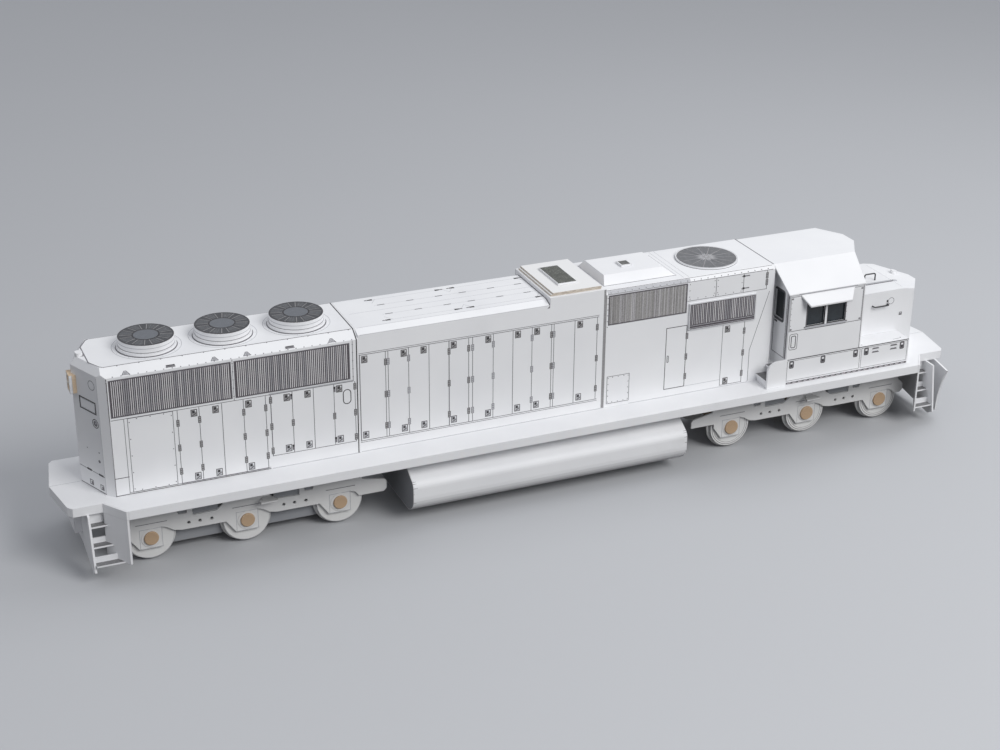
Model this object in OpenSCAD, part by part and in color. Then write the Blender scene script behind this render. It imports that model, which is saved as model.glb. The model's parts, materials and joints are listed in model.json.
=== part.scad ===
// Card scale model of a six-axle road-switcher diesel locomotive.
// Millimetres. +X runs towards the cab end, +Z up, Z = 0 under the wheel flanges,
// and the origin is midway between the two end porches.

/* [Lengths along the body] */
// Rear porch, from its tip to the tip of the rear hood
rear_porch_len = 14.1; // [12:0.1:20]
// Rear hood with the radiators
rear_hood_len = 120.8; // [100:0.1:150]
// Engine hood
engine_hood_len = 120.6; // [95:0.1:150]
// Central hood with the brake fan
central_hood_len = 89.8; // [80:0.1:110]
// Narrow neck between the central hood and the cab
neck_len = 3.6; // [2:0.1:6]
// Cab
cab_len = 42; // [36:0.1:55]
// Nose, from the cab to its tip
nose_len = 49.2; // [44:0.1:62]
// Front porch, from the nose's tip to the porch's tip
front_porch_len = 10.6; // [8:0.1:14]

/* [Card and deck] */
// Thickness of the card that everything is folded from
card = 1; // [0.8:0.05:1.2]
// Width over the side sills
deck_w = 69.9; // [66:0.1:84]
// Height of the side sills
sill_h = 4.2; // [3.6:0.1:5]
// Top of the deck above the axles
deck_above_axle = 23.35; // [22:0.05:28]
// Width of the porches between the step wells
porch_w = 48; // [44:0.1:54]
// Sill ends, measured from the tip of the porch
sill_setback = 26.9; // [26:0.1:32]
// Depth of the bow of each porch end
porch_bow = 4.3; // [3:0.1:6]
// Length of the slanted side of each step well
well_slant = 7.7; // [6:0.1:9]
// Rear end plate, measured from the tip of its porch
rear_plate_setback = 11.1; // [10:0.1:13]
// Front end plate, measured from the tip of its porch
front_plate_setback = 13.6; // [12:0.1:14]
// Foot of the end plates, below the axles
plate_below_axle = 7.2; // [5:0.1:7.5]

/* [Hoods] */
// Width of the rear hood
rear_hood_w = 41; // [36:0.1:44]
// Height of the rear hood's sides above the deck
rear_side_h = 55.5; // [50:0.1:62]
// Height of the rear hood's roof above the deck
rear_roof_h = 58.8; // [55:0.1:66]
// Width of the flat part of the rear hood's roof
rear_roof_w = 31.6; // [28:0.1:36]
// Depth of the rear hood's pointed end
rear_point = 10.7; // [8:0.1:13]
// Width of the engine hood
engine_hood_w = 40; // [36:0.1:44]
// Height of the engine hood's sides above the deck
engine_side_h = 57.1; // [52:0.1:62]
// Height of the engine hood's roof above the deck
engine_roof_h = 58.8; // [54:0.1:64]
// Width of the flat part of the engine hood's roof
engine_roof_w = 31.6; // [28:0.1:36]
// Length of the raised part of the engine hood, under the exhaust box
raised_len = 28.4; // [24:0.1:34]
// Height of the raised part above the deck
raised_h = 60.5; // [57:0.1:66]
// Width of the central hood
central_hood_w = 40.2; // [36:0.1:44]
// Height of the central hood's sides above the deck
central_side_h = 57.6; // [54:0.1:62]
// Height of the central hood's roof above the deck
central_roof_h = 59.6; // [56:0.1:66]
// Width of the flat part of the central hood's roof
central_roof_w = 36.6; // [32:0.1:38]

/* [Roof fittings] */
// Radius of a radiator fan's drum
fan_r = 12; // [9:0.1:13]
// Height of a radiator fan above the rear hood's roof
fan_h = 4.95; // [4:0.05:6]
// Distance from one radiator fan to the next
fan_pitch = 33.25; // [28:0.05:36]
// First radiator fan, measured from the hood's tip
fan_setback = 32.8; // [30:0.1:36]
// Exhaust box, width of its top sheet
exhaust_w = 37; // [32:0.1:39]
// Exhaust box, length of its top sheet
exhaust_len = 24.5; // [20:0.1:26]
// Exhaust box, height of its layers
exhaust_h = 1.6; // [1.2:0.1:3]
// Exhaust box, set back from the end of the raised part
exhaust_inset = 2; // [0:0.1:3]
// Filter hatch, length of its base
hatch_len = 37.5; // [32:0.1:42]
// Filter hatch, width of its base
hatch_w = 28; // [24:0.1:31]
// Filter hatch, height
hatch_h = 4; // [3:0.1:5]
// Framed grille, length
framed_grille_len = 36.2; // [30:0.1:38]
// Framed grille, height
framed_grille_h = 13.3; // [10:0.1:15]
// Radius of the brake fan's rim
brake_fan_r = 15; // [12:0.1:16]
// Brake fan's centre, measured back from the cab end of the central hood
brake_fan_setback = 26.7; // [24:0.1:30]

/* [Cab and nose] */
// Width over the cab's sides
cab_w = 59.8; // [54:0.1:64]
// Top of the cab's roof above the deck
cab_roof_h = 59.4; // [56:0.1:66]
// Height of the eaves above the deck
eave_h = 47.4; // [44:0.1:54]
// Width of the flat part of the cab's roof
cab_roof_w = 36; // [32:0.1:40]
// Top of the boxes and of the cab's floor above the deck
box_h = 13.15; // [11:0.05:16]
// How far the boxes reach past the cab's front
box_past_cab = 29.3; // [24:0.1:34]
// Width of the nose
nose_w = 36.8; // [32:0.1:38]
// Height of the nose above the deck
nose_h = 35.5; // [32:0.1:40]
// Depth of the nose's pointed front
nose_point = 11.4; // [9:0.1:14]
// Width of the flat at the nose's tip
nose_flat_w = 6.4; // [4:0.1:9]
// Depth of the headlight housing ahead of the cab
brow_len = 8.2; // [6:0.1:10]

/* [Trucks] */
// Middle of the rear truck, measured from the rear porch's tip
rear_truck_inset = 81.5; // [79:0.1:86]
// Middle of the front truck, measured from the front porch's tip
front_truck_inset = 80.7; // [79:0.1:86]
// Distance from one axle to the next
axle_pitch = 43.1; // [40:0.1:46]
// Radius of the wheels' tread
wheel_r = 10.6; // [8.8:0.1:11.2]
// Height of the wheel flanges
flange_h = 1.1; // [0.8:0.05:1.3]
// Thickness of a wheel
wheel_w = 3.1; // [2.6:0.1:3.4]
// Distance over the wheels' outer faces
over_wheels = 36.2; // [34:0.1:38]
// Diameter of the dowels that serve as axles
axle_d = 7.9; // [6.5:0.1:8.4]
// How far each dowel's end stands out of its frame
axle_stub = 1; // [0.5:0.1:1.4]
// Clearance of a dowel in its frame, on the radius
axle_fit = 0.05; // [0.02:0.01:0.1]
// Diameter of the swivel pins
pivot_d = 6; // [5:0.1:7]

/* [Under the deck] */
// Width over the fuel tank
tank_w = 69.6; // [62:0.1:70]
// Clearance from the rear truck's arm to the tank
tank_gap_rear = 7.4; // [7:0.1:9]
// Clearance from the front truck's arm to the tank
tank_gap_front = 10.7; // [7:0.1:12]
// Bottom of the tank, below the axles
tank_below_axle = 5.8; // [4:0.1:7]
// Radius of the tank's lower edges
tank_edge_r = 8.5; // [6:0.1:10]

/* [Hidden] */
$fn = 64;

white = "whitesmoke";
grey = "slategray";
tan = "burlywood";
film = "darkslategray";
glue = 0.02;
skin = 0.4;
run_gap = 0.5;

// Stations along X
overall_len = rear_porch_len + rear_hood_len + engine_hood_len + central_hood_len
              + neck_len + cab_len + nose_len + front_porch_len;
x_rear = -overall_len / 2;
x_front = overall_len / 2;
x_rear_hood = x_rear + rear_porch_len;
x_seam_1 = x_rear_hood + rear_hood_len;
x_seam_2 = x_seam_1 + engine_hood_len;
x_seam_3 = x_seam_2 + central_hood_len;
x_cab = x_seam_3 + neck_len;
x_nose = x_cab + cab_len;
x_nose_tip = x_nose + nose_len;
x_rear_truck = x_rear + rear_truck_inset;
x_front_truck = x_front - front_truck_inset;

// Heights
axle_z = wheel_r + flange_h;
deck_z = axle_z + deck_above_axle;
sill_z = deck_z - sill_h;
bolster_h = 3.2;
bolster_z = sill_z - bolster_h;
core_top = bolster_z - 0.3;

// Truck pieces
frame_in = over_wheels / 2 + 0.3;
frame_out = frame_in + card;
core_half = axle_pitch / 2 + 8;
transom_half = axle_pitch / 2 - (wheel_r + flange_h) - 0.9;
arm_reach = axle_pitch + 22.4;
short_reach = axle_pitch + 14;
AXLE_TRUCK = [x_rear_truck, x_rear_truck, x_rear_truck, x_front_truck, x_front_truck, x_front_truck];
AXLE_STEP = [-1, 0, 1, -1, 0, 1];

// Porch details
well_x = sill_setback - well_slant;
plate_foot = axle_z - plate_below_axle;

module plan(points, low, high) {
  translate([0, 0, low])
    linear_extrude(height = high - low)
      polygon(points);
}

// A section given as [y, z] points, extruded along X
module along_x(points, from, to) {
  translate([from, 0, 0])
    rotate([90, 0, 90])
      linear_extrude(height = to - from)
        polygon(points);
}

// An outline given as [x, z] points, extruded along Y
module along_y(points, from, to) {
  translate([0, to, 0])
    rotate([90, 0, 0])
      linear_extrude(height = to - from)
        polygon(points);
}

module block(low, high) {
  translate(low)
    cube(high - low);
}

module both_sides() {
  children();
  mirror([0, 1, 0])
    children();
}

function arc(cx, cy, r, from, to, steps) =
  [for (i = [0 : steps]) [cx + r * cos(from + (to - from) * i / steps),
                          cy + r * sin(from + (to - from) * i / steps)]];

function flip_y(points) = [for (i = [len(points) - 1 : -1 : 0]) [points[i][0], -points[i][1]]];

function flip_x(points) = [for (i = [len(points) - 1 : -1 : 0]) [-points[i][0], points[i][1]]];

// ---- Deck -------------------------------------------------------------------

// Half of the deck's plan on the left side, from the rear tip to the front tip
function deck_half(inset) =
  let (wide = deck_w / 2 - inset, narrow = porch_w / 2 - inset)
  [[x_rear + inset, 0],
   [x_rear + inset + porch_bow * 0.86, narrow - 2.2],
   [x_rear + inset + porch_bow + 1.2, narrow],
   [x_rear + well_x + inset, narrow],
   [x_rear + sill_setback + inset, wide],
   [x_front - sill_setback - inset, wide],
   [x_front - well_x - inset, narrow],
   [x_front - inset - porch_bow - 1.2, narrow],
   [x_front - inset - porch_bow * 0.86, narrow - 2.2],
   [x_front - inset, 0]];

function deck_plan(inset) = concat(deck_half(inset), flip_y([for (i = [1 : 8]) deck_half(inset)[i]]));

module deck() {
  color(white)
    difference() {
      plan(deck_plan(0), sill_z, deck_z);
      plan(deck_plan(card), sill_z - 1, deck_z - card);
    }
}

module underframe() {
  half_w = 11;
  color(white)
    difference() {
      union() {
        block([x_rear + sill_setback, -half_w, sill_z], [x_front - sill_setback, half_w, deck_z - card]);
        for (x = [x_rear_truck, x_front_truck])
          translate([x, 0, bolster_z])
            cylinder(r = half_w, h = bolster_h + card);
      }
      for (x = [x_rear_truck, x_front_truck])
        translate([x, 0, bolster_z - 1])
          cylinder(d = pivot_d + 2 * glue, h = bolster_h + 1);
    }
}

module pivot_pins() {
  color(tan)
    for (x = [x_rear_truck, x_front_truck])
      translate([x, 0, axle_z + axle_d / 2 + 2])
        cylinder(d = pivot_d, h = sill_z - axle_z - axle_d / 2 - 2 - glue);
}

// ---- Rear hood --------------------------------------------------------------

rear_corner = 3.3;

// X of the pointed end's outer face at a distance y from the middle
function rear_face_x(y) = x_rear_hood + y * (rear_point - rear_corner) / (rear_hood_w / 2 - rear_corner);

// Plan of the rear hood: pointed end, small corner chamfers, square at the seam
function rear_hood_plan(inset) =
  let (half = rear_hood_w / 2 - inset)
  [[x_rear_hood + inset, 0],
   [x_rear_hood + rear_point - rear_corner + inset * 0.6, half - rear_corner],
   [x_rear_hood + rear_point + inset * 0.6, half],
   [x_seam_1, half],
   [x_seam_1, -half],
   [x_rear_hood + rear_point + inset * 0.6, -half],
   [x_rear_hood + rear_point - rear_corner + inset * 0.6, rear_corner - half]];

// Section of a hood with chamfered roof edges, on the deck
function hood_section(w, side_h, top_w, top_h) =
  [[-w / 2, deck_z], [w / 2, deck_z], [w / 2, deck_z + side_h],
   [top_w / 2, deck_z + top_h], [-top_w / 2, deck_z + top_h], [-w / 2, deck_z + side_h]];

// Section across one face of the pointed end, leaning back at the top, from that face inwards
function rear_lean(inset) =
  [[-1, deck_z - 1], [-1, deck_z + rear_side_h - inset * 0.5], [inset, deck_z + rear_side_h - inset * 0.5],
   [2.3 + inset, deck_z + rear_roof_h - inset], [rear_hood_len * 1.2, deck_z + rear_roof_h - inset],
   [rear_hood_len * 1.2, deck_z - 1]];

module rear_hood_form(inset) {
  angle = atan((rear_point - rear_corner) / (rear_hood_w / 2 - rear_corner));
  intersection() {
    plan(rear_hood_plan(inset), deck_z, deck_z + rear_roof_h - inset);
    along_x(hood_section(rear_hood_w - 2 * inset, rear_side_h - inset * 0.5,
                         rear_roof_w - inset, rear_roof_h - inset),
            x_rear_hood - 1, x_seam_1);
    translate([x_rear_hood, 0, 0])
      rotate([0, 0, angle])
        along_y(rear_lean(inset), -rear_hood_len, rear_hood_len);
    translate([x_rear_hood, 0, 0])
      rotate([0, 0, -angle])
        along_y(rear_lean(inset), -rear_hood_len, rear_hood_len);
  }
}

module rear_hood() {
  color(white)
    difference() {
      rear_hood_form(0);
      intersection() {
        rear_hood_form(card);
        block([x_rear_hood, -rear_hood_w, deck_z - 1], [x_seam_1 - card, rear_hood_w, deck_z + rear_roof_h]);
      }
    }
}

// A laminated drum with a slightly wider base ring and a recessed top
module radiator_fan(index) {
  roof = deck_z + rear_roof_h;
  base_h = 1.4;
  color(grey)
    translate([x_rear_hood + fan_setback + index * fan_pitch, 0, roof])
      rotate_extrude($fn = 96)
        polygon([[0, 0], [fan_r + 0.8, 0], [fan_r + 0.8, base_h], [fan_r, base_h],
                 [fan_r, fan_h], [fan_r - 0.7, fan_h], [fan_r - 0.7, fan_h - 0.5],
                 [0, fan_h - 0.5]]);
}

// A block that fits the hood's pointed end, with two round lamp recesses
module rear_headlight() {
  reach = 1.5;
  half_w = 3.3;
  low = deck_z + 43.3;
  height = 8.3;
  lamp_r = 1.6;
  color(white)
    difference() {
      plan([[x_rear_hood - reach, -half_w], [rear_face_x(half_w) - glue, -half_w], [x_rear_hood - glue, 0],
            [rear_face_x(half_w) - glue, half_w], [x_rear_hood - reach, half_w]],
           low, low + height);
      for (z = [low + 2.2, low + height - 2.2])
        translate([x_rear_hood - reach - 1, 0, z])
          rotate([0, 90, 0])
            cylinder(r = lamp_r, h = 1.6);
    }
}

// ---- Engine hood ------------------------------------------------------------

module engine_hood() {
  color(white)
    difference() {
      union() {
        along_x(hood_section(engine_hood_w, engine_side_h, engine_roof_w, engine_roof_h), x_seam_1, x_seam_2);
        block([x_seam_2 - raised_len, -engine_hood_w / 2, deck_z],
              [x_seam_2, engine_hood_w / 2, deck_z + raised_h]);
      }
      block([x_seam_1 + card, card - engine_hood_w / 2, deck_z - 1],
            [x_seam_2 - card, engine_hood_w / 2 - card, deck_z + engine_side_h - card]);
    }
}

exhaust_x = x_seam_2 - raised_len + exhaust_inset;

// Two layers of board, the lower one a little wider at its free end
module exhaust_box() {
  layer_h = exhaust_h / 2;
  lip = 0.9;
  color(tan) {
    block([exhaust_x - lip, 0.3 - exhaust_w / 2, deck_z + raised_h],
          [exhaust_x + exhaust_len, exhaust_w / 2 - 0.3, deck_z + raised_h + layer_h]);
    block([exhaust_x, -exhaust_w / 2, deck_z + raised_h + layer_h],
          [exhaust_x + exhaust_len, exhaust_w / 2, deck_z + raised_h + exhaust_h]);
  }
}

module exhaust_grille() {
  low = deck_z + raised_h + exhaust_h;
  x = exhaust_x + exhaust_len / 2 - 1.4;
  half_l = 4.9;
  half_w = 11;
  color(grey)
    difference() {
      block([x - half_l, -half_w, low], [x + half_l, half_w, low + 0.9]);
      block([x - half_l + 0.7, -half_w + 0.7, low + 0.4], [x + half_l - 0.7, half_w - 0.7, low + 2]);
    }
}

// ---- Central hood -----------------------------------------------------------

neck_half = 15.9;
roof_drop = card * 0.8;
roof_underside = cab_roof_h - roof_drop - glue;

module central_hood() {
  color(white)
    difference() {
      union() {
        along_x(hood_section(central_hood_w, central_side_h, central_roof_w, central_roof_h),
                x_seam_2, x_seam_3);
        block([x_seam_3 - card, -neck_half, deck_z], [x_cab, neck_half, deck_z + roof_underside]);
      }
      block([x_seam_2 + card, card - central_hood_w / 2, deck_z - 1],
            [x_seam_3 - card, central_hood_w / 2 - card, deck_z + central_side_h - card]);
    }
}

hatch_x = x_seam_2 + 1.6;

// The hatch's sloping sides meet a smaller flat top
module filter_hatch() {
  roof = deck_z + central_roof_h;
  top_half = hatch_w / 2 - 3.8;
  color(white)
    intersection() {
      along_x([[-hatch_w / 2, roof], [hatch_w / 2, roof], [top_half, roof + hatch_h], [-top_half, roof + hatch_h]],
              hatch_x, hatch_x + hatch_len);
      along_y([[hatch_x, roof], [hatch_x + hatch_len, roof],
               [hatch_x + hatch_len - 5.7, roof + hatch_h], [hatch_x + 1.5, roof + hatch_h]],
              -hatch_w / 2, hatch_w / 2);
    }
}

module hatch_vent() {
  low = deck_z + central_roof_h + hatch_h;
  color(grey)
    translate([hatch_x + 13.5, -4.5, low])
      difference() {
        block([0, 0, 0], [5.6, 6, 1]);
        block([0.6, 0.6, 0.6], [5, 5.4, 2]);
      }
}

module brake_fan() {
  color(grey)
    translate([x_seam_3 - brake_fan_setback, 0, deck_z + central_roof_h])
      rotate_extrude($fn = 96)
        polygon([[0, 0], [brake_fan_r, 0], [brake_fan_r, 0.9], [brake_fan_r - 0.6, 0.9],
                 [brake_fan_r - 0.6, 0.5], [0, 0.5]]);
}

// Framed grilles that stand on the central hood's sides
module framed_grilles() {
  x0 = x_seam_2 + 43.6;
  x1 = x0 + framed_grille_len;
  low = deck_z + 33.4;
  high = low + framed_grille_h;
  side = central_hood_w / 2;
  rim = 0.9;
  color(grey)
    both_sides()
      difference() {
        block([x0, side, low], [x1, side + 0.9, high]);
        block([x0 + rim, side + 0.5, low + rim], [x1 - rim, side + 2, high - rim]);
      }
}

// ---- Cab --------------------------------------------------------------------

cab_floor_z = deck_z + box_h;
cab_half = cab_w / 2;
window_low = deck_z + 29.5;
window_high = deck_z + 41.6;
side_window = [x_cab + 9.7, x_cab + 31.8];
window_post = 1.7;
rear_window = [16.2, 23.9];
rear_window_z = [deck_z + 32, deck_z + 46.3];

module cab_floor() {
  half_w = nose_w / 2;
  color(white)
    block([x_cab, -half_w, deck_z], [x_nose, half_w, cab_floor_z]);
}

// Right-hand side wall; the left one is its mirror image
module cab_side_wall() {
  middle = (side_window[0] + side_window[1]) / 2;
  difference() {
    block([x_cab, -cab_half, cab_floor_z], [x_nose, card - cab_half, deck_z + eave_h - roof_drop]);
    block([side_window[0], -cab_half - 1, window_low],
          [middle - window_post / 2, card - cab_half + 1, window_high]);
    block([middle + window_post / 2, -cab_half - 1, window_low],
          [side_window[1], card - cab_half + 1, window_high]);
  }
}

module cab_right_wall() {
  color(white)
    cab_side_wall();
}

module cab_left_wall() {
  color(white)
    mirror([0, 1, 0])
      cab_side_wall();
}

// Outline of an end wall under the folded roof, as [y, z] points
function end_wall(half) =
  let (slope = (cab_roof_h - eave_h) / (cab_half - cab_roof_w / 2), drop = roof_drop + glue)
  [[-half, cab_floor_z], [half, cab_floor_z],
   [half, deck_z + cab_roof_h - (half - cab_roof_w / 2) * slope - drop],
   [cab_roof_w / 2, deck_z + cab_roof_h - drop],
   [-cab_roof_w / 2, deck_z + cab_roof_h - drop],
   [-half, deck_z + cab_roof_h - (half - cab_roof_w / 2) * slope - drop]];

module cab_rear_wall() {
  color(white)
    difference() {
      along_x(end_wall(cab_half - card), x_cab, x_cab + card);
      both_sides()
        block([x_cab - 1, rear_window[0], rear_window_z[0]], [x_cab + 2, rear_window[1], rear_window_z[1]]);
    }
}

front_window_z = [deck_z + nose_h + 3.5, deck_z + 50.5];
front_window_y = [2.2, 16];
side_front_window_y = [20.4, 27];
side_front_window_z = [deck_z + 29, deck_z + 44.5];

module cab_front_wall() {
  color(white)
    difference() {
      along_x(end_wall(cab_half - card), x_nose - card, x_nose);
      both_sides() {
        block([x_nose - 2, front_window_y[0], front_window_z[0]], [x_nose + 1, front_window_y[1], front_window_z[1]]);
        block([x_nose - 2, side_front_window_y[0], side_front_window_z[0]],
              [x_nose + 1, side_front_window_y[1], side_front_window_z[1]]);
      }
    }
}

eave_half = cab_half + 0.1;

module cab_roof() {
  fold = cab_roof_w / 2;
  slope = (cab_roof_h - eave_h) / (cab_half - fold);
  top = deck_z + cab_roof_h;
  low = top - (eave_half - fold) * slope;
  color(white)
    intersection() {
      along_x([[-eave_half, low], [-fold, top], [fold, top], [eave_half, low],
               [eave_half, low - roof_drop], [fold, top - roof_drop], [-fold, top - roof_drop],
               [-eave_half, low - roof_drop]],
              x_seam_3, x_nose + brow_len + 1);
      plan([[x_seam_3 + glue, -fold], [x_seam_3 + glue, fold], [x_cab - 0.8, eave_half],
            [x_nose + 0.2, eave_half], [x_nose + 0.2, fold], [x_nose + brow_len, 5], [x_nose + brow_len, -5],
            [x_nose + 0.2, -fold], [x_nose + 0.2, -eave_half], [x_cab - 0.8, -eave_half]],
           deck_z, top + 1);
    }
}

// Thin film behind each window of the cab
module cab_glazing() {
  lap = 1;
  color(film) {
    both_sides() {
      block([side_window[0] - lap, card - cab_half, window_low - lap],
            [side_window[1] + lap, card - cab_half + skin, window_high + lap]);
      block([x_cab + card, rear_window[0] - lap, rear_window_z[0] - lap],
            [x_cab + card + skin, rear_window[1] + lap, rear_window_z[1] + lap]);
      block([x_nose - card - skin, front_window_y[0] - lap, front_window_z[0] - lap],
            [x_nose - card, front_window_y[1] + lap, front_window_z[1] + lap]);
      block([x_nose - card - skin, side_front_window_y[0] - lap, side_front_window_z[0] - lap],
            [x_nose - card, side_front_window_y[1] + lap, side_front_window_z[1] + lap]);
    }
  }
}

// Housing for the headlights and the two slanted number boards, under the roof's front
module cab_headlight_housing() {
  high = deck_z + roof_underside;
  low = high - 6.6;
  fold = cab_roof_w / 2;
  color(white)
    difference() {
      plan([[x_nose, fold - 0.4], [x_nose, 0.4 - fold], [x_nose + brow_len - 0.4, -4.8], [x_nose + brow_len - 0.4, 4.8]],
           low, high);
      for (y = [-2.3, 2.3])
        translate([x_nose + brow_len - 1.2, y, (low + high) / 2])
          rotate([0, 90, 0])
            cylinder(r = 1.8, h = 3);
    }
}

// Folded shades above the side windows
module sunshades() {
  out = 4.4;
  fall = 4.7;
  top = deck_z + eave_h - roof_drop - 0.1;
  thick = 0.6;
  color(white)
    both_sides()
      intersection() {
        along_x([[cab_half, top], [cab_half, top - thick * 1.4], [cab_half + out, top - fall - thick * 1.4],
                 [cab_half + out, top - fall]],
                x_cab + 4.5, x_cab + 37);
        plan([[x_cab + 4.9, cab_half - 1], [x_cab + 36.7, cab_half - 1],
              [x_cab + 31.4, cab_half + out + 1], [x_cab + 9.7, cab_half + out + 1]],
             top - 10, top + 1);
      }
}

// ---- Nose and boxes ---------------------------------------------------------

function nose_plan(inset) =
  [[x_nose, nose_w / 2 - inset], [x_nose, inset - nose_w / 2],
   [x_nose_tip - nose_point - inset * 0.5, inset - nose_w / 2],
   [x_nose_tip - inset, -nose_flat_w / 2], [x_nose_tip - inset, nose_flat_w / 2],
   [x_nose_tip - nose_point - inset * 0.5, nose_w / 2 - inset]];

// Side view of the nose, its top falling slightly towards the tip
function nose_profile(inset) =
  [[x_nose, deck_z - 1], [x_nose_tip + 1, deck_z - 1], [x_nose_tip + 1, deck_z + nose_h - 3.2 - inset],
   [x_nose_tip - nose_point - 6, deck_z + nose_h - inset], [x_nose, deck_z + nose_h - inset]];

module nose_form(inset) {
  intersection() {
    plan(nose_plan(inset * 1.5), deck_z - inset, deck_z + nose_h);
    along_y(nose_profile(inset), -nose_w, nose_w);
  }
}

module nose() {
  color(white)
    difference() {
      nose_form(0);
      translate([card, 0, 0])
        nose_form(card);
    }
}

// Bent wire: a bar with two legs, one on the nose's top and one on each side
module grab_irons() {
  wire_r = 0.35;
  span = 8.6;
  stand_off = 2;
  color("dimgray") {
    translate([x_nose + 17.8, -3.5, deck_z + nose_h])
      staple(span - 2.3, stand_off, wire_r);
    both_sides()
      translate([x_nose + 13.5, nose_w / 2, deck_z + 28.6])
        rotate([-90, 0, 0])
          staple(span, stand_off, wire_r);
  }
}

module staple(span, stand_off, wire_r) {
  for (x = [0, span])
    translate([x, 0, 0])
      cylinder(r = wire_r, h = stand_off, $fn = 16);
  translate([-wire_r, 0, stand_off])
    rotate([0, 90, 0])
      cylinder(r = wire_r, h = span + 2 * wire_r, $fn = 16);
}

module battery_box() {
  color(white)
    block([x_cab, -cab_half, deck_z], [x_nose + box_past_cab, -nose_w / 2, cab_floor_z]);
}

module right_battery_box() {
  battery_box();
}

module left_battery_box() {
  mirror([0, 1, 0])
    battery_box();
}

// Two treads between the hood and a side panel with a rounded corner. The upper
// tread reaches into the neck, below the cab's rear door.
module cab_steps() {
  length = 10.6;
  panel_h = 13.8;
  corner = 5;
  panel_y = cab_half + 1.3;
  hood_y = central_hood_w / 2 + glue;
  rise = 4.05;
  nosing = 0.8;
  x0 = x_cab - length;
  x_upper = x_cab - length / 2;
  top = [deck_z + rise, deck_z + 2 * rise];
  color(white) {
    along_y(concat([[x_cab, deck_z], [x_cab, deck_z + panel_h]],
                   arc(x0 + corner, deck_z + panel_h - corner, corner, 90, 180, 8),
                   [[x0, deck_z]]),
            -panel_y, card - panel_y);
    block([x0 + nosing, card - panel_y, deck_z], [x0 + nosing + card, -hood_y, top[0] - card]);
    block([x0, card - panel_y, top[0] - card], [x_cab, -hood_y, top[0]]);
    block([x_upper + nosing, card - panel_y, top[0]], [x_upper + nosing + card, -hood_y, top[1] - card]);
    block([x_upper, card - panel_y, top[1] - card], [x_cab, -hood_y, top[1]]);
    block([x_seam_3 + glue, -hood_y, top[1] - card], [x_cab, -neck_half - glue, top[1]]);
  }
}

module right_cab_steps() {
  cab_steps();
}

module left_cab_steps() {
  mirror([0, 1, 0])
    cab_steps();
}

// ---- End steps, pilots and plow ---------------------------------------------

// Distances from the middle and from the axles: the slanted side panel and three treads
ladder_low = axle_z - 2.3;
tread_front = [deck_w / 2 - 9.3, deck_w / 2 - 7.4, deck_w / 2 - 2.4];
tread_depth = [4.1, 4.2, 4];
tread_top = [axle_z + 13.9, axle_z + 5.1, axle_z - 1.5];
riser_top = [sill_z, tread_top[1] + 2.6, tread_top[2] + 2.6];
tread_h = 0.8;
riser_w = 0.6;

// Distance from the porch's tip of the side panel's inner face, at y
function panel_x(y) =
  let (slope = well_slant / (deck_w / 2 - porch_w / 2))
  well_x - card + max(0, y - porch_w / 2) * slope;

// One flight of steps at the rear left, with its end plate at the given distance
module ladder(plate_setback) {
  wide = deck_w / 2;
  narrow = porch_w / 2;
  back = plate_setback + card;
  color(white) {
    plan([[well_x, narrow], [sill_setback, wide], [sill_setback - card, wide], [well_x - card, narrow]],
         ladder_low, sill_z);
    for (i = [0 : 2]) {
      front = tread_front[i];
      rear = front - tread_depth[i];
      plan([[back, rear], [panel_x(rear), rear], [panel_x(front), front], [back, front]],
           tread_top[i] - tread_h, tread_top[i]);
      plan([[back, rear], [panel_x(rear), rear], [panel_x(rear + riser_w), rear + riser_w], [back, rear + riser_w]],
           tread_top[i] - tread_h / 2, riser_top[i]);
    }
  }
}

module rear_left_ladder() {
  translate([x_rear, 0, 0])
    ladder(rear_plate_setback);
}

module rear_right_ladder() {
  mirror([0, 1, 0])
    rear_left_ladder();
}

module front_left_ladder() {
  translate([x_front, 0, 0])
    mirror([1, 0, 0])
      ladder(front_plate_setback);
}

module front_right_ladder() {
  mirror([0, 1, 0])
    front_left_ladder();
}

// Outline of an end plate as [y, z] points: half of its top, half of its foot, arched foot
function plate_outline(top_half, foot_half, arch) =
  [[-top_half, sill_z], [-foot_half, plate_foot + 2], [-foot_half + 3.5, plate_foot], [-8, plate_foot + arch],
   [8, plate_foot + arch], [foot_half - 3.5, plate_foot], [foot_half, plate_foot + 2], [top_half, sill_z]];

module rear_pilot() {
  color(white)
    along_x(plate_outline(deck_w / 2 - 9, deck_w / 2 - 3.4, 4.1),
            x_rear + rear_plate_setback, x_rear + rear_plate_setback + card);
}

module front_pilot() {
  color(white)
    along_x(plate_outline(deck_w / 2 - 4.6, deck_w / 2 - 1.1, 4.1),
            x_front - front_plate_setback - card, x_front - front_plate_setback);
}

// Pale box under the rear porch, where a coupler would go
module coupler_pocket() {
  half_w = 8;
  color(white)
    block([x_rear + rear_plate_setback - 3.2, -half_w, axle_z + 2.8],
          [x_rear + rear_plate_setback, half_w, sill_z]);
}

// Half of the plow's outline as [y, z] points: a wide top that curves in to its foot
function plow_half() =
  let (wide = deck_w / 2, top = sill_z - 2)
  concat([[wide - 11, sill_z], [wide, top]],
         [for (i = [1 : 6]) [wide - 5.8 * sin(i * 15), top - (top - plate_foot) * pow(i / 6, 1.15)]]);

module snow_plow() {
  x = x_front - front_plate_setback + 4.4;
  half = plow_half();
  color(white) {
    along_x(concat(half, [for (i = [len(half) - 1 : -1 : 0]) [-half[i][0], half[i][1]]]), x, x + card);
    both_sides()
      block([x_front - front_plate_setback, 20, sill_z - 12], [x, 20 + card, sill_z]);
  }
}

// ---- Fuel tank --------------------------------------------------------------

tank_x0 = x_rear_truck + arm_reach + tank_gap_rear;
tank_x1 = x_front_truck - arm_reach - tank_gap_front;
tank_low = axle_z - tank_below_axle;

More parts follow.
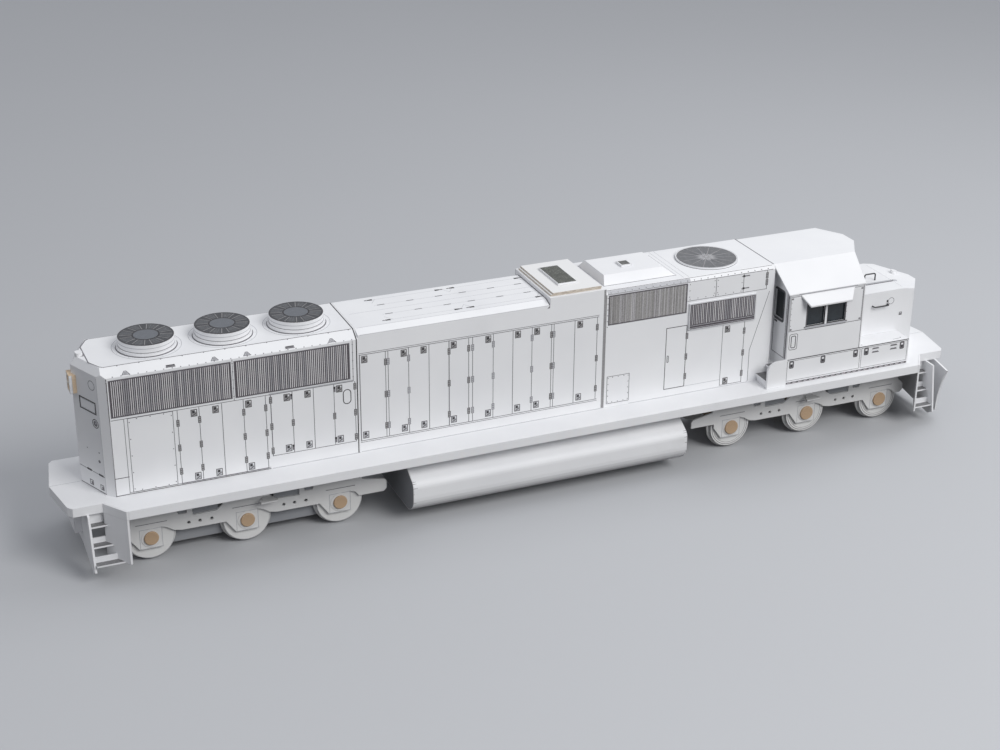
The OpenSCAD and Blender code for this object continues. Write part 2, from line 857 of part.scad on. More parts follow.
function tank_half() =
  concat([[18.5, sill_z]],
         arc(tank_w / 2 - 4, tank_low + 13.2, 4, 60, 0, 4),
         arc(tank_w / 2 - tank_edge_r, tank_low + tank_edge_r, tank_edge_r, 0, -90, 8));

module fuel_tank() {
  half = tank_half();
  color(white)
    along_x(concat(half, [for (i = [len(half) - 1 : -1 : 0]) [-half[i][0], half[i][1]]]), tank_x0, tank_x1);
}

// ---- Trucks -----------------------------------------------------------------

// Lower edge of a side frame around one axle, from left to right, as [x, z] from the axle
function pedestal() =
  [[-9.6, 0.9], [-5.3, -5.2], [4.9, -5.2], [4.9, 4.5], [7.4, 3.6], [10.2, 1.7], [13.6, 1]];

// Upper edge of the right half of a side frame, from the middle outwards
function frame_top(reach, end_z) =
  [[0, 14], [8.6, 14], [11, 9.6], [13.6, 7.6], [24.2, 7.3], [24.4, 10.8], [26.6, 10.8], [26.8, 8.8],
   [30.4, 8.8], [32.4, 14], [axle_pitch + 8.8, 14], [axle_pitch + 11, 9.4], [reach - 1, end_z], [reach, end_z - 1]];

function shifted(points, x, z) = [for (p = points) [p[0] + x, p[1] + z]];

// Whole outline of a side frame: left end, three pedestals, right end, top
function frame_outline(left_reach, left_low, right_reach, right_low) =
  concat([[-left_reach, axle_z + left_low]],
         [[-axle_pitch - 9.8, axle_z + left_low]],
         shifted([for (i = [0 : 6]) pedestal()[i]], -axle_pitch, axle_z),
         shifted(pedestal(), 0, axle_z),
         shifted([for (i = [0 : 4]) pedestal()[i]], axle_pitch, axle_z),
         [[axle_pitch + 9.2, axle_z + right_low], [right_reach - 1.4, axle_z + right_low],
          [right_reach, axle_z + right_low + 1.4]],
         shifted([for (i = [13 : -1 : 0]) frame_top(right_reach, 7.4)[i]], 0, axle_z),
         shifted(flip_x([for (i = [13 : -1 : 1]) frame_top(left_reach, 7.4)[i]]), 0, axle_z));

// One side frame on the right, standing in the XZ plane, with its damper bracket
module side_frame(left_reach, left_low, right_reach, right_low, bracket_x) {
  hole_r = axle_d / 2 + axle_fit;
  hole_x = [16.9, 21.9, 27.2];
  bracket_z = axle_z + 9;
  difference() {
    along_y(frame_outline(left_reach, left_low, right_reach, right_low), -frame_out, -frame_in);
    for (step = [-1 : 1])
      translate([step * axle_pitch, -frame_in + 1, axle_z])
        rotate([90, 0, 0])
          cylinder(r = hole_r, h = 3);
    for (x = hole_x)
      for (base = [-axle_pitch, 0])
        translate([base + x, -frame_in + 1, axle_z + 4])
          rotate([90, 0, 0])
            cylinder(r = 0.75, h = 3, $fn = 24);
  }
  plan([[bracket_x - 2.4, -frame_out], [bracket_x - 2.4, -frame_out - 2], [bracket_x - 3.9, -frame_out - 3.4],
        [bracket_x - 3.9, -frame_out - 5.4], [bracket_x + 3.9, -frame_out - 5.4],
        [bracket_x + 3.9, -frame_out - 3.4], [bracket_x + 2.4, -frame_out - 2], [bracket_x + 2.4, -frame_out]],
       bracket_z, bracket_z + 0.9);
}

module rear_side_frame() {
  side_frame(short_reach, 1.7, arm_reach, 1.3, 9.1);
}

module front_side_frame() {
  side_frame(arm_reach, 3, short_reach, 1.7, 0.4);
}

module rear_truck_right_frame() {
  color(white)
    translate([x_rear_truck, 0, 0])
      rear_side_frame();
}

module rear_truck_left_frame() {
  mirror([0, 1, 0])
    rear_truck_right_frame();
}

module front_truck_right_frame() {
  color(white)
    translate([x_front_truck, 0, 0])
      front_side_frame();
}

module front_truck_left_frame() {
  mirror([0, 1, 0])
    front_truck_right_frame();
}

// Two transoms between the frames, a spine over the axles and a boss for the swivel pin
module truck_core() {
  spine_half = 9;
  spine_low = axle_z + wheel_r + flange_h - 0.4;
  difference() {
    union() {
      for (x = [-axle_pitch / 2, axle_pitch / 2])
        block([x - transom_half, -frame_in, axle_z + 5.6], [x + transom_half, frame_in, core_top]);
      block([-core_half, -spine_half, spine_low - 1], [core_half, spine_half, core_top]);
      translate([0, 0, axle_z + axle_d / 2 + 1])
        cylinder(r = 7, h = core_top - axle_z - axle_d / 2 - 1);
    }
    translate([0, 0, axle_z + axle_d / 2])
      cylinder(d = pivot_d + 2 * axle_fit, h = 20);
  }
}

// Plain inner plates between the wheels of the rear truck
module inner_plates() {
  face = over_wheels / 2 - wheel_w - run_gap;
  both_sides()
    difference() {
      block([-axle_pitch - 7, face - card, axle_z - 6.9], [axle_pitch + 7, face, axle_z + 8]);
      for (step = [-1 : 1])
        translate([step * axle_pitch, face + 1, axle_z])
          rotate([90, 0, 0])
            cylinder(r = axle_d / 2 + run_gap, h = 3);
    }
}

module rear_truck_core() {
  color(grey)
    translate([x_rear_truck, 0, 0]) {
      truck_core();
      inner_plates();
    }
}

module front_truck_core() {
  color(grey)
    translate([x_front_truck, 0, 0])
      truck_core();
}

// ---- Wheelsets --------------------------------------------------------------

module axle(index) {
  length = 2 * (frame_out + axle_stub);
  color(tan)
    translate([AXLE_TRUCK[index] + AXLE_STEP[index] * axle_pitch, length / 2, axle_z])
      rotate([90, 0, 0])
        cylinder(d = axle_d, h = length);
}

// A pair of laminated discs, each with a flange on its inner side
module wheel_pair(index) {
  flange_w = 0.9;
  inner = over_wheels / 2 - wheel_w;
  bore = axle_d / 2 + glue;
  color(white)
    translate([AXLE_TRUCK[index] + AXLE_STEP[index] * axle_pitch, 0, axle_z])
      both_sides()
        rotate([-90, 0, 0])
          rotate_extrude($fn = 96)
            polygon([[bore, inner], [wheel_r + flange_h, inner], [wheel_r + flange_h, inner + flange_w],
                     [wheel_r, inner + flange_w], [wheel_r, inner + wheel_w], [bore, inner + wheel_w]]);
}

deck();
underframe();
pivot_pins();
rear_hood();
radiator_fan(0);  // radiator_fan_1
radiator_fan(1);  // radiator_fan_2
radiator_fan(2);  // radiator_fan_3
rear_headlight();
engine_hood();
exhaust_box();
exhaust_grille();
central_hood();
filter_hatch();
hatch_vent();
brake_fan();
framed_grilles();
cab_floor();
cab_right_wall();
cab_left_wall();
cab_rear_wall();
cab_front_wall();
cab_roof();
cab_glazing();
cab_headlight_housing();
sunshades();
nose();
grab_irons();
right_battery_box();
left_battery_box();
right_cab_steps();
left_cab_steps();
rear_right_ladder();
rear_left_ladder();
front_right_ladder();
front_left_ladder();
rear_pilot();
front_pilot();
coupler_pocket();
snow_plow();
fuel_tank();
rear_truck_core();
rear_truck_right_frame();
rear_truck_left_frame();
front_truck_core();
front_truck_right_frame();
front_truck_left_frame();
axle(0);  // axle_1
axle(1);  // axle_2
axle(2);  // axle_3
axle(3);  // axle_4
axle(4);  // axle_5
axle(5);  // axle_6
wheel_pair(0);  // wheels_1
wheel_pair(1);  // wheels_2
wheel_pair(2);  // wheels_3
wheel_pair(3);  // wheels_4
wheel_pair(4);  // wheels_5
wheel_pair(5);  // wheels_6
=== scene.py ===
"""Looks of a card scale model of a six-axle road-switcher diesel locomotive.

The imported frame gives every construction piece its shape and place. This script prints the line
work on the card, adds the small fittings, gives each surface its finish and lights the model.
Sizes are in millimetres, and Sheet turns them into the frame's metres.
"""

import json
import logging
import math
import random
from dataclasses import dataclass, field
from enum import Enum
from typing import ClassVar

import bpy
from mathutils import Matrix, Vector

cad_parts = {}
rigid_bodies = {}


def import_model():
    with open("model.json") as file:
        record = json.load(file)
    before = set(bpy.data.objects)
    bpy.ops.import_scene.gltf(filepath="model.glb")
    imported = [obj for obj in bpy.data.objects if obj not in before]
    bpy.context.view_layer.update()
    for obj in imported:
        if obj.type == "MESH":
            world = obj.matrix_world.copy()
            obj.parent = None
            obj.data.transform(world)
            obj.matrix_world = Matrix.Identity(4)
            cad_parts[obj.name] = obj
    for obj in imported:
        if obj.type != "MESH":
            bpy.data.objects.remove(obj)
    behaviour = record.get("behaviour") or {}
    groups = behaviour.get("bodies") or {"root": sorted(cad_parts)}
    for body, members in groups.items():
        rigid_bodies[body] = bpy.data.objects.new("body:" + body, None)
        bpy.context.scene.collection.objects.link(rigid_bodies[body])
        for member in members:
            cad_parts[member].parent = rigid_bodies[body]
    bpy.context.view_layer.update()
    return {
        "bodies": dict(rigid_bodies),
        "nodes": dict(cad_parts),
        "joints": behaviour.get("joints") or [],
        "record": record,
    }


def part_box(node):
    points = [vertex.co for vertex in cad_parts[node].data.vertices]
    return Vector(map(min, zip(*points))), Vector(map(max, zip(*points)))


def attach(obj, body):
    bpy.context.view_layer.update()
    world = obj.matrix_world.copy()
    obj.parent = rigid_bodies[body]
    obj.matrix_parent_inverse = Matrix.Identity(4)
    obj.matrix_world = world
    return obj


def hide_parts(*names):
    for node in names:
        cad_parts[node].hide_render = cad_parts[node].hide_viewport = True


LOG = logging.getLogger("card_locomotive")
MM = 0.001
X, Y, Z = Vector((1, 0, 0)), Vector((0, 1, 0)), Vector((0, 0, 1))

# Height of print over the card, depth of its back under it, width of the common pen, and
# radius of a bolt head, in millimetres.
PRINT_LIFT = 0.03
PRINT_SINK = 0.04
PEN = 0.28
BOLT_R = 0.24

Socket = bpy.types.NodeSocket
Object = bpy.types.Object
Material = bpy.types.Material
Point = tuple[float, float]
Rect = tuple[float, float, float, float]
Colour = tuple[float, float, float]


class Side(Enum):
    """The two sides of the model, by the sign of Y."""

    RIGHT = -1
    LEFT = 1

    @property
    def word(self) -> str:
        """The side's name in a piece name."""
        return self.name.lower()


class Stock(Enum):
    """The materials that the model is made of and printed with."""

    WHITE_CARD = "white_card"
    TRUCK_CARD = "truck_card"
    WHEEL_CARD = "wheel_card"
    GREY_CARD = "grey_card"
    BLACK = "black_ink"
    GREY = "grey_ink"
    PALE = "pale_ink"
    GRILLE = "grille_ink"
    SLATE = "slate_ink"
    HUB = "hub_ink"
    BLADE = "blade_ink"
    SLAT = "slat_ink"
    SEAM = "seam_ink"
    OLIVE = "olive_ink"
    MESH = "mesh_ink"
    TREAD = "tread_ink"
    BOARD_TOP = "board_top"
    BOARD_END = "board_end"
    DOWEL = "dowel"
    WIRE = "wire"
    FILM = "film"


BLACK, GREY, PALE = Stock.BLACK, Stock.GREY, Stock.PALE


# ---- Wiring and shared effects ------------------------------------------------------


class Bench:
    """Short forms for placing and joining shader nodes in one tree."""

    def __init__(self, tree: bpy.types.NodeTree) -> None:
        """Keeps the tree that nodes are placed in."""
        self.tree = tree

    def feed(self, node: bpy.types.Node, inputs: dict) -> None:
        """Sets a node's inputs to values, or joins them to other nodes' sockets.

        Args:
            node: The node to feed.
            inputs: Values or sockets, by the name or number of the input.
        """
        for key, value in inputs.items():
            if isinstance(value, Socket):
                self.tree.links.new(value, node.inputs[key])
            else:
                node.inputs[key].default_value = value

    def add(self, kind: str, inputs: dict | None = None, **settings: object) -> bpy.types.Node:
        """Places one node.

        Args:
            kind: The node's type name without its ShaderNode start.
            inputs: Values or sockets for its inputs, by name or number.
            settings: Attributes of the node itself.

        Returns:
            The new node.
        """
        node = self.tree.nodes.new(kind if kind.startswith("Node") else "ShaderNode" + kind)
        for key, value in settings.items():
            setattr(node, key, value)
        self.feed(node, inputs or {})
        return node

    def math(self, operation: str, *values: object) -> Socket:
        """Places a Math node on the given values or sockets and returns its output."""
        return self.add("Math", dict(enumerate(values)), operation=operation).outputs[0]

    def share(self, mask: object, amount: float) -> Socket:
        """Weakens a mask to an amount and returns its socket."""
        return self.math("MULTIPLY", mask, amount)

    def fade(self, value: object, low: object, high: object) -> Socket:
        """Maps a value from low..high to 0..1, clamped, and returns the result's socket."""
        return self.add("MapRange", {0: value, 1: low, 2: high}).outputs[0]

    def blend(self, mask: object, first: object, second: object) -> Socket:
        """Mixes two colours, each a tuple or a socket, by a mask and returns the result's socket."""
        pair = [(*colour, 1.0) if isinstance(colour, tuple) else colour for colour in (first, second)]
        return self.add("Mix", {0: mask, 6: pair[0], 7: pair[1]}, data_type="RGBA").outputs[2]

    def noise(self, where: object, scale: object, detail: float) -> Socket:
        """Places a noise texture and returns its value."""
        return self.add("TexNoise", {"Vector": where, "Scale": scale, "Detail": detail}).outputs[0]

    def relief(self, height: object, strength: float, depth: float) -> Socket:
        """Turns a height into a bumped normal, with its depth in metres, and returns the socket."""
        return self.add("Bump", {"Strength": strength, "Distance": depth, "Height": height}).outputs[0]


class Effects:
    """The shader node groups that several finishes share."""

    def __init__(self) -> None:
        """Builds each group once."""
        self.fibre = self._fibre()
        self.folds = self._folds()
        self.handling = self._handling()

    @staticmethod
    def _group(name: str, inputs: dict[str, float], outputs: dict[str, str]) -> tuple:
        """Starts a group with named sockets.

        Args:
            name: The group's name.
            inputs: Default values of its float inputs.
            outputs: Socket types of its outputs.

        Returns:
            The group, its bench, its input node and its output node.
        """
        group = bpy.data.node_groups.new(name, "ShaderNodeTree")
        for name_in, value in inputs.items():
            socket = group.interface.new_socket(name_in, in_out="INPUT", socket_type="NodeSocketFloat")
            socket.default_value = value
        for name_out, kind in outputs.items():
            group.interface.new_socket(name_out, in_out="OUTPUT", socket_type=kind)
        bench = Bench(group)
        return group, bench, bench.add("NodeGroupInput"), bench.add("NodeGroupOutput")

    def _fibre(self) -> bpy.types.NodeTree:
        """Paper fibre: a fine matted height and a slow change of tone.

        Returns:
            The group.
        """
        group, bench, given, out = self._group(
            "Paper fibre", {"Fibre Scale": 2600.0, "Cloud Scale": 45.0},
            {"Tone": "NodeSocketFloat", "Height": "NodeSocketFloat"})
        where = bench.add("TexCoord").outputs["Object"]
        fine = bench.noise(where, given.outputs["Fibre Scale"], 4.0)
        long_way = bench.add("Mapping", {"Vector": where, "Scale": (0.25, 0.25, 1.0)}).outputs[0]
        matted = bench.noise(long_way, given.outputs["Fibre Scale"], 2.0)
        cloud = bench.noise(where, given.outputs["Cloud Scale"], 2.0)
        height = bench.math("ADD", fine, bench.share(matted, 0.6))
        bench.feed(out, {"Tone": bench.fade(cloud, 0.3, 0.75), "Height": height})
        return group

    def _folds(self) -> bpy.types.NodeTree:
        """Folded and cut edges: a softened normal and a mask of where the surface turns.

        Returns:
            The group.
        """
        group, bench, given, out = self._group(
            "Card folds", {"Radius": 0.0003, "Spread": 0.12},
            {"Edge": "NodeSocketFloat", "Soft Normal": "NodeSocketVector"})
        soft = bench.add("Bevel", {"Radius": given.outputs["Radius"]}, samples=4).outputs[0]
        true = bench.add("NewGeometry").outputs["True Normal"]
        match = bench.add("VectorMath", {0: soft, 1: true}, operation="DOT_PRODUCT").outputs["Value"]
        turn = bench.math("SUBTRACT", 1.0, match)
        edge = bench.fade(turn, 0.01, given.outputs["Spread"])
        bench.feed(out, {"Edge": edge, "Soft Normal": soft})
        return group

    def _handling(self) -> bpy.types.NodeTree:
        """Handling marks: scattered faint smudges and glue spots.

        Returns:
            The group.
        """
        group, bench, given, out = self._group(
            "Handling marks", {"Scale": 22.0, "Threshold": 0.6}, {"Mask": "NodeSocketFloat"})
        where = bench.add("TexCoord").outputs["Object"]
        patch = bench.noise(where, given.outputs["Scale"], 5.0)
        streak = bench.noise(where, bench.math("MULTIPLY", given.outputs["Scale"], 9.0), 3.0)
        mixed = bench.math("ADD", bench.share(patch, 0.75), bench.share(streak, 0.25))
        bench.feed(out, {"Mask": bench.fade(mixed, given.outputs["Threshold"], 0.85)})
        return group


# ---- Finishes -----------------------------------------------------------------------


def start_material(name: str, roughness: float, specular: float = 0.35) -> tuple:
    """Starts a node material.

    Args:
        name: The material's name.
        roughness: The shader's plain roughness, kept where nothing is linked to it.
        specular: The shader's specular level.

    Returns:
        The material, its bench and its Principled shader.
    """
    material = bpy.data.materials.new(name)
    material.use_nodes = True
    bench = Bench(material.node_tree)
    shader = material.node_tree.nodes["Principled BSDF"]
    bench.feed(shader, {"Roughness": roughness, "Specular IOR Level": specular})
    return material, bench, shader


@dataclass(frozen=True)
class CardFinish:
    """Smooth white card: faint clouding, matted fibre, softened folds tinted as worn edges and as painted
    shade, and a few marks.
    """

    colour: Colour
    shade: Colour
    # Tint at folds and inner corners: worn raw card at cut edges, and painted shade in the creases and
    # corners.
    edge: Colour
    mark: Colour = (0.56, 0.55, 0.52)
    roughness: float = 0.62
    fold_radius: float = 0.00035
    fibre_bump: float = 0.16
    fibre_depth: float = 0.00006
    mark_share: float = 0.35
    edge_wear_and_shade_share: float = 0.55
    rubbed: float = 0.14

    def build(self, name: str, effects: Effects) -> Material:
        """Returns the finished material.

        Args:
            name: The material's name.
            effects: The shared effects.

        Returns:
            The finished material.
        """
        material, bench, shader = start_material(name, self.roughness)
        fibre = bench.add("Group", node_tree=effects.fibre).outputs
        folds = bench.add("Group", {"Radius": self.fold_radius}, node_tree=effects.folds).outputs
        marks = bench.add("Group", node_tree=effects.handling).outputs["Mask"]
        clouded = bench.blend(fibre["Tone"], self.colour, self.shade)
        marked = bench.blend(bench.share(marks, self.mark_share), clouded, self.mark)
        # Folds and inner corners take the edge tint: partly worn card, partly painted shade.
        worn_and_shaded = bench.blend(bench.share(folds["Edge"], self.edge_wear_and_shade_share), marked, self.edge)
        rough = bench.add("MapRange", {0: marks, 3: self.roughness, 4: self.roughness - self.rubbed})
        bump = bench.add("Bump", {"Strength": self.fibre_bump, "Distance": self.fibre_depth,
                                  "Height": fibre["Height"], "Normal": folds["Soft Normal"]})
        bench.feed(shader, {"Base Color": worn_and_shaded, "Roughness": rough.outputs[0],
                            "Normal": bump.outputs[0]})
        return material


@dataclass(frozen=True)
class InkFinish:
    """Printed ink: a dense tone that thins where the card's fibre shows through."""

    colour: Colour
    worn: Colour
    thin: float = 0.5
    roughness: float = 0.5
    fibre_scale: float = 1900.0
    bump: float = 0.1
    depth: float = 0.00004

    def build(self, name: str, effects: Effects) -> Material:
        """Returns the finished material.

        Args:
            name: The material's name.
            effects: The shared effects.

        Returns:
            The finished material.
        """
        material, bench, shader = start_material(name, self.roughness)
        scale = {"Fibre Scale": self.fibre_scale}
        fibre = bench.add("Group", scale, node_tree=effects.fibre).outputs["Height"]
        thinned = bench.share(bench.fade(fibre, 0.78, 1.15), self.thin)
        bench.feed(shader, {"Base Color": bench.blend(thinned, self.colour, self.worn),
                            "Normal": bench.relief(fibre, self.bump, self.depth)})
        return material


@dataclass(frozen=True)
class MeshFinish:
    """A fine printed mesh: dark cells between lighter threads, with uneven ink."""

    cell: Colour
    thread: Colour
    scale: float = 1500.0
    roughness: float = 0.55
    fibre_scale: float = 1400.0
    bump: float = 0.4
    depth: float = 0.0001

    def build(self, name: str, effects: Effects) -> Material:
        """Returns the finished material.

        Args:
            name: The material's name.
            effects: The shared effects.

        Returns:
            The finished material.
        """
        material, bench, shader = start_material(name, self.roughness)
        where = bench.add("TexCoord").outputs["Object"]
        cells = bench.add("TexVoronoi", {"Vector": where, "Scale": self.scale}).outputs["Distance"]
        scale = {"Fibre Scale": self.fibre_scale}
        fibre = bench.add("Group", scale, node_tree=effects.fibre).outputs["Height"]
        uneven = bench.math("MULTIPLY", bench.fade(cells, 0.25, 0.6), bench.fade(fibre, 0.6, 1.1))
        bench.feed(shader, {"Base Color": bench.blend(uneven, self.cell, self.thread),
                            "Normal": bench.relief(cells, self.bump, self.depth)})
        return material


@dataclass(frozen=True)
class BoardFinish:
    """Thick board faced with white paper: tan layered edges, white on the faces along one axis."""

    faced_axis: str
    faced_sign: float
    paper: Colour = (0.80, 0.80, 0.80)
    pulp: Colour = (0.66, 0.60, 0.52)
    dark_pulp: Colour = (0.44, 0.38, 0.32)
    roughness: float = 0.75
    ply_scale: float = 5200.0
    ply_stretch: float = 0.12
    mark_scale: float = 60.0
    mark_share: float = 0.3
    bump: float = 0.35
    depth: float = 0.00008

    def build(self, name: str, effects: Effects) -> Material:
        """Returns the finished material.

        Args:
            name: The material's name.
            effects: The shared effects.

        Returns:
            The finished material.
        """
        material, bench, shader = start_material(name, self.roughness)
        place = bench.add("TexCoord").outputs
        split = bench.add("SeparateXYZ", {0: place["Normal"]}).outputs
        faced = bench.fade(bench.share(split[self.faced_axis], self.faced_sign), 0.75, 0.9)
        layered = (self.ply_stretch, self.ply_stretch, 1.0)
        flat = bench.add("Mapping", {"Vector": place["Object"], "Scale": layered}).outputs[0]
        plies = bench.noise(flat, self.ply_scale, 2.0)
        pulp = bench.blend(bench.fade(plies, 0.38, 0.62), self.dark_pulp, self.pulp)
        marks = bench.add("Group", {"Scale": self.mark_scale}, node_tree=effects.handling).outputs["Mask"]
        paper = bench.blend(bench.share(marks, self.mark_share), self.paper, self.pulp)
        bench.feed(shader, {"Base Color": bench.blend(faced, pulp, paper),
                            "Normal": bench.relief(plies, self.bump, self.depth)})
        return material


@dataclass(frozen=True)
class DowelFinish:
    """A cut hardwood dowel: growth rings and pores on its ends, grain along its side."""

    light: Colour = (0.58, 0.42, 0.28)
    dark: Colour = (0.38, 0.25, 0.15)
    roughness: float = 0.66
    heart: tuple[float, float, float] = (-0.36, 0.0, -0.64)
    stretch: tuple[float, float, float] = (1.0, 0.03, 1.0)
    ring_scale: float = 3.4
    pore_scale: float = 26.0
    mark_scale: float = 160.0
    bump: float = 0.3
    depth: float = 0.0001

    def build(self, name: str, effects: Effects) -> Material:
        """Returns the finished material.

        Args:
            name: The material's name.
            effects: The shared effects.

        Returns:
            The finished material.
        """
        material, bench, shader = start_material(name, self.roughness)
        where = bench.add("TexCoord").outputs["Generated"]
        placed = {"Vector": where, "Location": self.heart, "Scale": self.stretch}
        grain = bench.add("Mapping", placed).outputs[0]
        wave = {"Vector": grain, "Scale": self.ring_scale, "Distortion": 1.6, "Detail": 3.0,
                "Detail Scale": 2.0}
        rings = bench.add("TexWave", wave, wave_type="RINGS", rings_direction="Y")
        pores = bench.add("TexVoronoi", {"Vector": grain, "Scale": self.pore_scale}).outputs["Distance"]
        ringed = bench.blend(bench.share(rings.outputs[1], 0.55), self.light, self.dark)
        pitted = bench.blend(bench.fade(pores, 0.0, 0.22), self.dark, ringed)
        marks = bench.add("Group", {"Scale": self.mark_scale}, node_tree=effects.handling).outputs["Mask"]
        bench.feed(shader, {"Base Color": bench.blend(bench.share(marks, 0.5), pitted, self.dark),
                            "Normal": bench.relief(pores, self.bump, self.depth)})
        return material


@dataclass(frozen=True)
class GlossFinish:
    """A dark glossy finish, such as window film or wire, with uneven gloss and lighter patches of smudge
    and painted sheen.
    """

    colour: Colour
    smudge_and_sheen: Colour
    smooth: float
    dull: float
    metallic: float = 0.0
    scale: float = 160.0
    threshold: float = 0.42

    def build(self, name: str, effects: Effects) -> Material:
        """Returns the finished material.

        Args:
            name: The material's name.
            effects: The shared effects.

        Returns:
            The finished material.
        """
        material, bench, shader = start_material(name, self.smooth, 0.5)
        uneven = {"Scale": self.scale, "Threshold": self.threshold}
        marks = bench.add("Group", uneven, node_tree=effects.handling).outputs["Mask"]
        rough = bench.add("MapRange", {0: marks, 3: self.smooth, 4: self.dull}).outputs[0]
        # Duller patches are lighter: partly smudged film or wire, partly painted sheen.
        bench.feed(shader, {"Base Color": bench.blend(marks, self.colour, self.smudge_and_sheen), "Roughness": rough,
                            "Metallic": self.metallic})
        return material


WHITE = (0.83, 0.835, 0.85)
FINISHES = {
    Stock.WHITE_CARD: CardFinish(WHITE, (0.79, 0.795, 0.815), (0.62, 0.62, 0.64)),
    Stock.TRUCK_CARD: CardFinish((0.80, 0.80, 0.80), (0.75, 0.75, 0.745), (0.56, 0.56, 0.55),
                                 fibre_bump=0.22),
    Stock.WHEEL_CARD: CardFinish((0.79, 0.79, 0.785), (0.73, 0.73, 0.72), (0.5, 0.5, 0.49),
                                 fibre_bump=0.24),
    Stock.GREY_CARD: CardFinish((0.34, 0.35, 0.37), (0.28, 0.29, 0.31), (0.46, 0.46, 0.46),
                                (0.2, 0.2, 0.2)),
    Stock.BLACK: InkFinish((0.035, 0.033, 0.036), (0.16, 0.155, 0.16)),
    Stock.GREY: InkFinish((0.17, 0.165, 0.18), (0.34, 0.335, 0.35)),
    Stock.PALE: InkFinish((0.46, 0.465, 0.49), (0.62, 0.62, 0.64)),
    Stock.GRILLE: InkFinish((0.085, 0.075, 0.085), (0.17, 0.155, 0.165), 0.7),
    Stock.SLATE: InkFinish((0.058, 0.06, 0.066), (0.12, 0.124, 0.135), 0.8, 0.42),
    Stock.HUB: InkFinish((0.14, 0.15, 0.168), (0.2, 0.212, 0.235), 0.8, 0.42),
    Stock.BLADE: InkFinish((0.085, 0.088, 0.094), (0.2, 0.2, 0.21), 0.9, 0.42),
    Stock.SLAT: InkFinish((0.78, 0.77, 0.785), (0.83, 0.83, 0.84), 0.8),
    Stock.SEAM: InkFinish((0.30, 0.295, 0.30), (0.42, 0.41, 0.42), 0.8),
    Stock.TREAD: InkFinish((0.17, 0.17, 0.175), (0.3, 0.3, 0.305), 0.9, 0.6),
    Stock.OLIVE: InkFinish((0.52, 0.515, 0.495), (0.66, 0.655, 0.64), 0.9),
    Stock.MESH: MeshFinish((0.075, 0.08, 0.07), (0.21, 0.215, 0.195)),
    Stock.BOARD_TOP: BoardFinish("Z", 1.0),
    Stock.BOARD_END: BoardFinish("X", -1.0, (0.84, 0.80, 0.74), (0.78, 0.62, 0.45), (0.68, 0.52, 0.36)),
    Stock.DOWEL: DowelFinish(),
    Stock.WIRE: GlossFinish((0.05, 0.05, 0.055), (0.12, 0.12, 0.12), 0.32, 0.5, 0.7, 700.0),
    Stock.FILM: GlossFinish((0.012, 0.016, 0.02), (0.035, 0.045, 0.055), 0.07, 0.2),
}


class Palette:
    """Builds each finish once and hands out its material."""

    def __init__(self) -> None:
        """Builds the shared effects."""
        self.effects = Effects()
        self.made: dict[Stock, Material] = {}

    def __getitem__(self, stock: Stock) -> Material:
        """Returns the material of one stock.

        Args:
            stock: Its ink or card.

        Returns:
            Its material.
        """
        if stock not in self.made:
            self.made[stock] = FINISHES[stock].build(stock.value, self.effects)
        return self.made[stock]

    def dress(self, frame: dict, stock: Stock, *nodes: str) -> None:
        """Puts a stock on the named construction nodes.

        Args:
            frame: The loaded frame.
            stock: The material to put on.
            nodes: Names of the nodes.
        """
        for name in nodes:
            for slot in frame["nodes"][name].material_slots:
                slot.material = self[stock]


# ---- Sheets and artwork ---------------------------------------------------------------


@dataclass(frozen=True)
class Sheet:
    """A flat face that marks are drawn on, with u along it and v up it."""

    origin: Vector
    along: Vector
    up: Vector
    out: Vector

    def at(self, u: float, v: float, lift: float = 0.0) -> Vector:
        """Returns the place in metres of a point given in millimetres on the sheet."""
        return self.origin + (self.along * u + self.up * v + self.out * lift) * MM

    @property
    def mirrored(self) -> bool:
        """Whether u, v and the outward direction make a left-handed set."""
        return self.along.cross(self.up).dot(self.out) < 0


def side_sheet(x: float, half_width: float, z: float, side: Side) -> Sheet:
    """A sheet on a side wall, with u along +X and v upwards.

    Args:
        x: Where u is zero, in metres.
        half_width: Distance of the wall from the middle, in metres.
        z: Where v is zero, in metres.
        side: Which wall.

    Returns:
        The sheet.
    """
    out = Vector((0, side.value, 0))
    return Sheet(Vector((x, side.value * half_width, z)), X, Z, out)


def end_sheet(x: float, z: float, out: int, across: int = 1) -> Sheet:
    """An upright sheet across the model.

    Args:
        x: Where it stands, in metres.
        z: Where v is zero, in metres.
        out: Which way it faces along X, 1 or -1.
        across: Which way u runs along Y from the middle, 1 or -1.

    Returns:
        The sheet.
    """
    return Sheet(Vector((x, 0, z)), Vector((0, across, 0)), Z, Vector((out, 0, 0)))


def top_sheet(x: float, z: float) -> Sheet:
    """A level sheet facing up, with u along +X from x and v along +Y from the middle."""
    return Sheet(Vector((x, 0, z)), X, Y, Z)


def slope_sheet(x: float, foot: Point, head: Point, side: Side) -> tuple[Sheet, float]:
    """A sheet on the sloping edge of a roof, with u along +X and v up the slope.

    Args:
        x: Where u is zero, in metres.
        foot: Half width and height of the slope's foot, in millimetres.
        head: Half width and height of its top, in millimetres.
        side: Which side's slope.

    Returns:
        The sheet and the slope's width in millimetres.
    """
    run, rise = foot[0] - head[0], head[1] - foot[1]
    up = Vector((0, -side.value * run, rise)).normalized()
    out = Vector((0, side.value * rise, run)).normalized()
    origin = Vector((x, side.value * foot[0] * MM, foot[1] * MM))
    return Sheet(origin, X, up, out), math.hypot(rise, run)


def polar(radius: float, angle: float, u: float = 0.0, v: float = 0.0) -> Point:
    """Returns the point at a distance and an angle from u, v."""
    return u + radius * math.cos(angle), v + radius * math.sin(angle)


def circle(u: float, v: float, radius: float, sides: int = 28) -> list[Point]:
    """Returns the points of a circle around u, v."""
    return [polar(radius, math.tau * i / sides, u, v) for i in range(sides)]


def oblong(u0: float, v0: float, u1: float, v1: float, grow: float = 0.0) -> list[Point]:
    """Returns the corners of a rectangle, moved outwards by grow."""
    left, low, right, high = u0 - grow, v0 - grow, u1 + grow, v1 + grow
    return [(left, low), (right, low), (right, high), (left, high)]


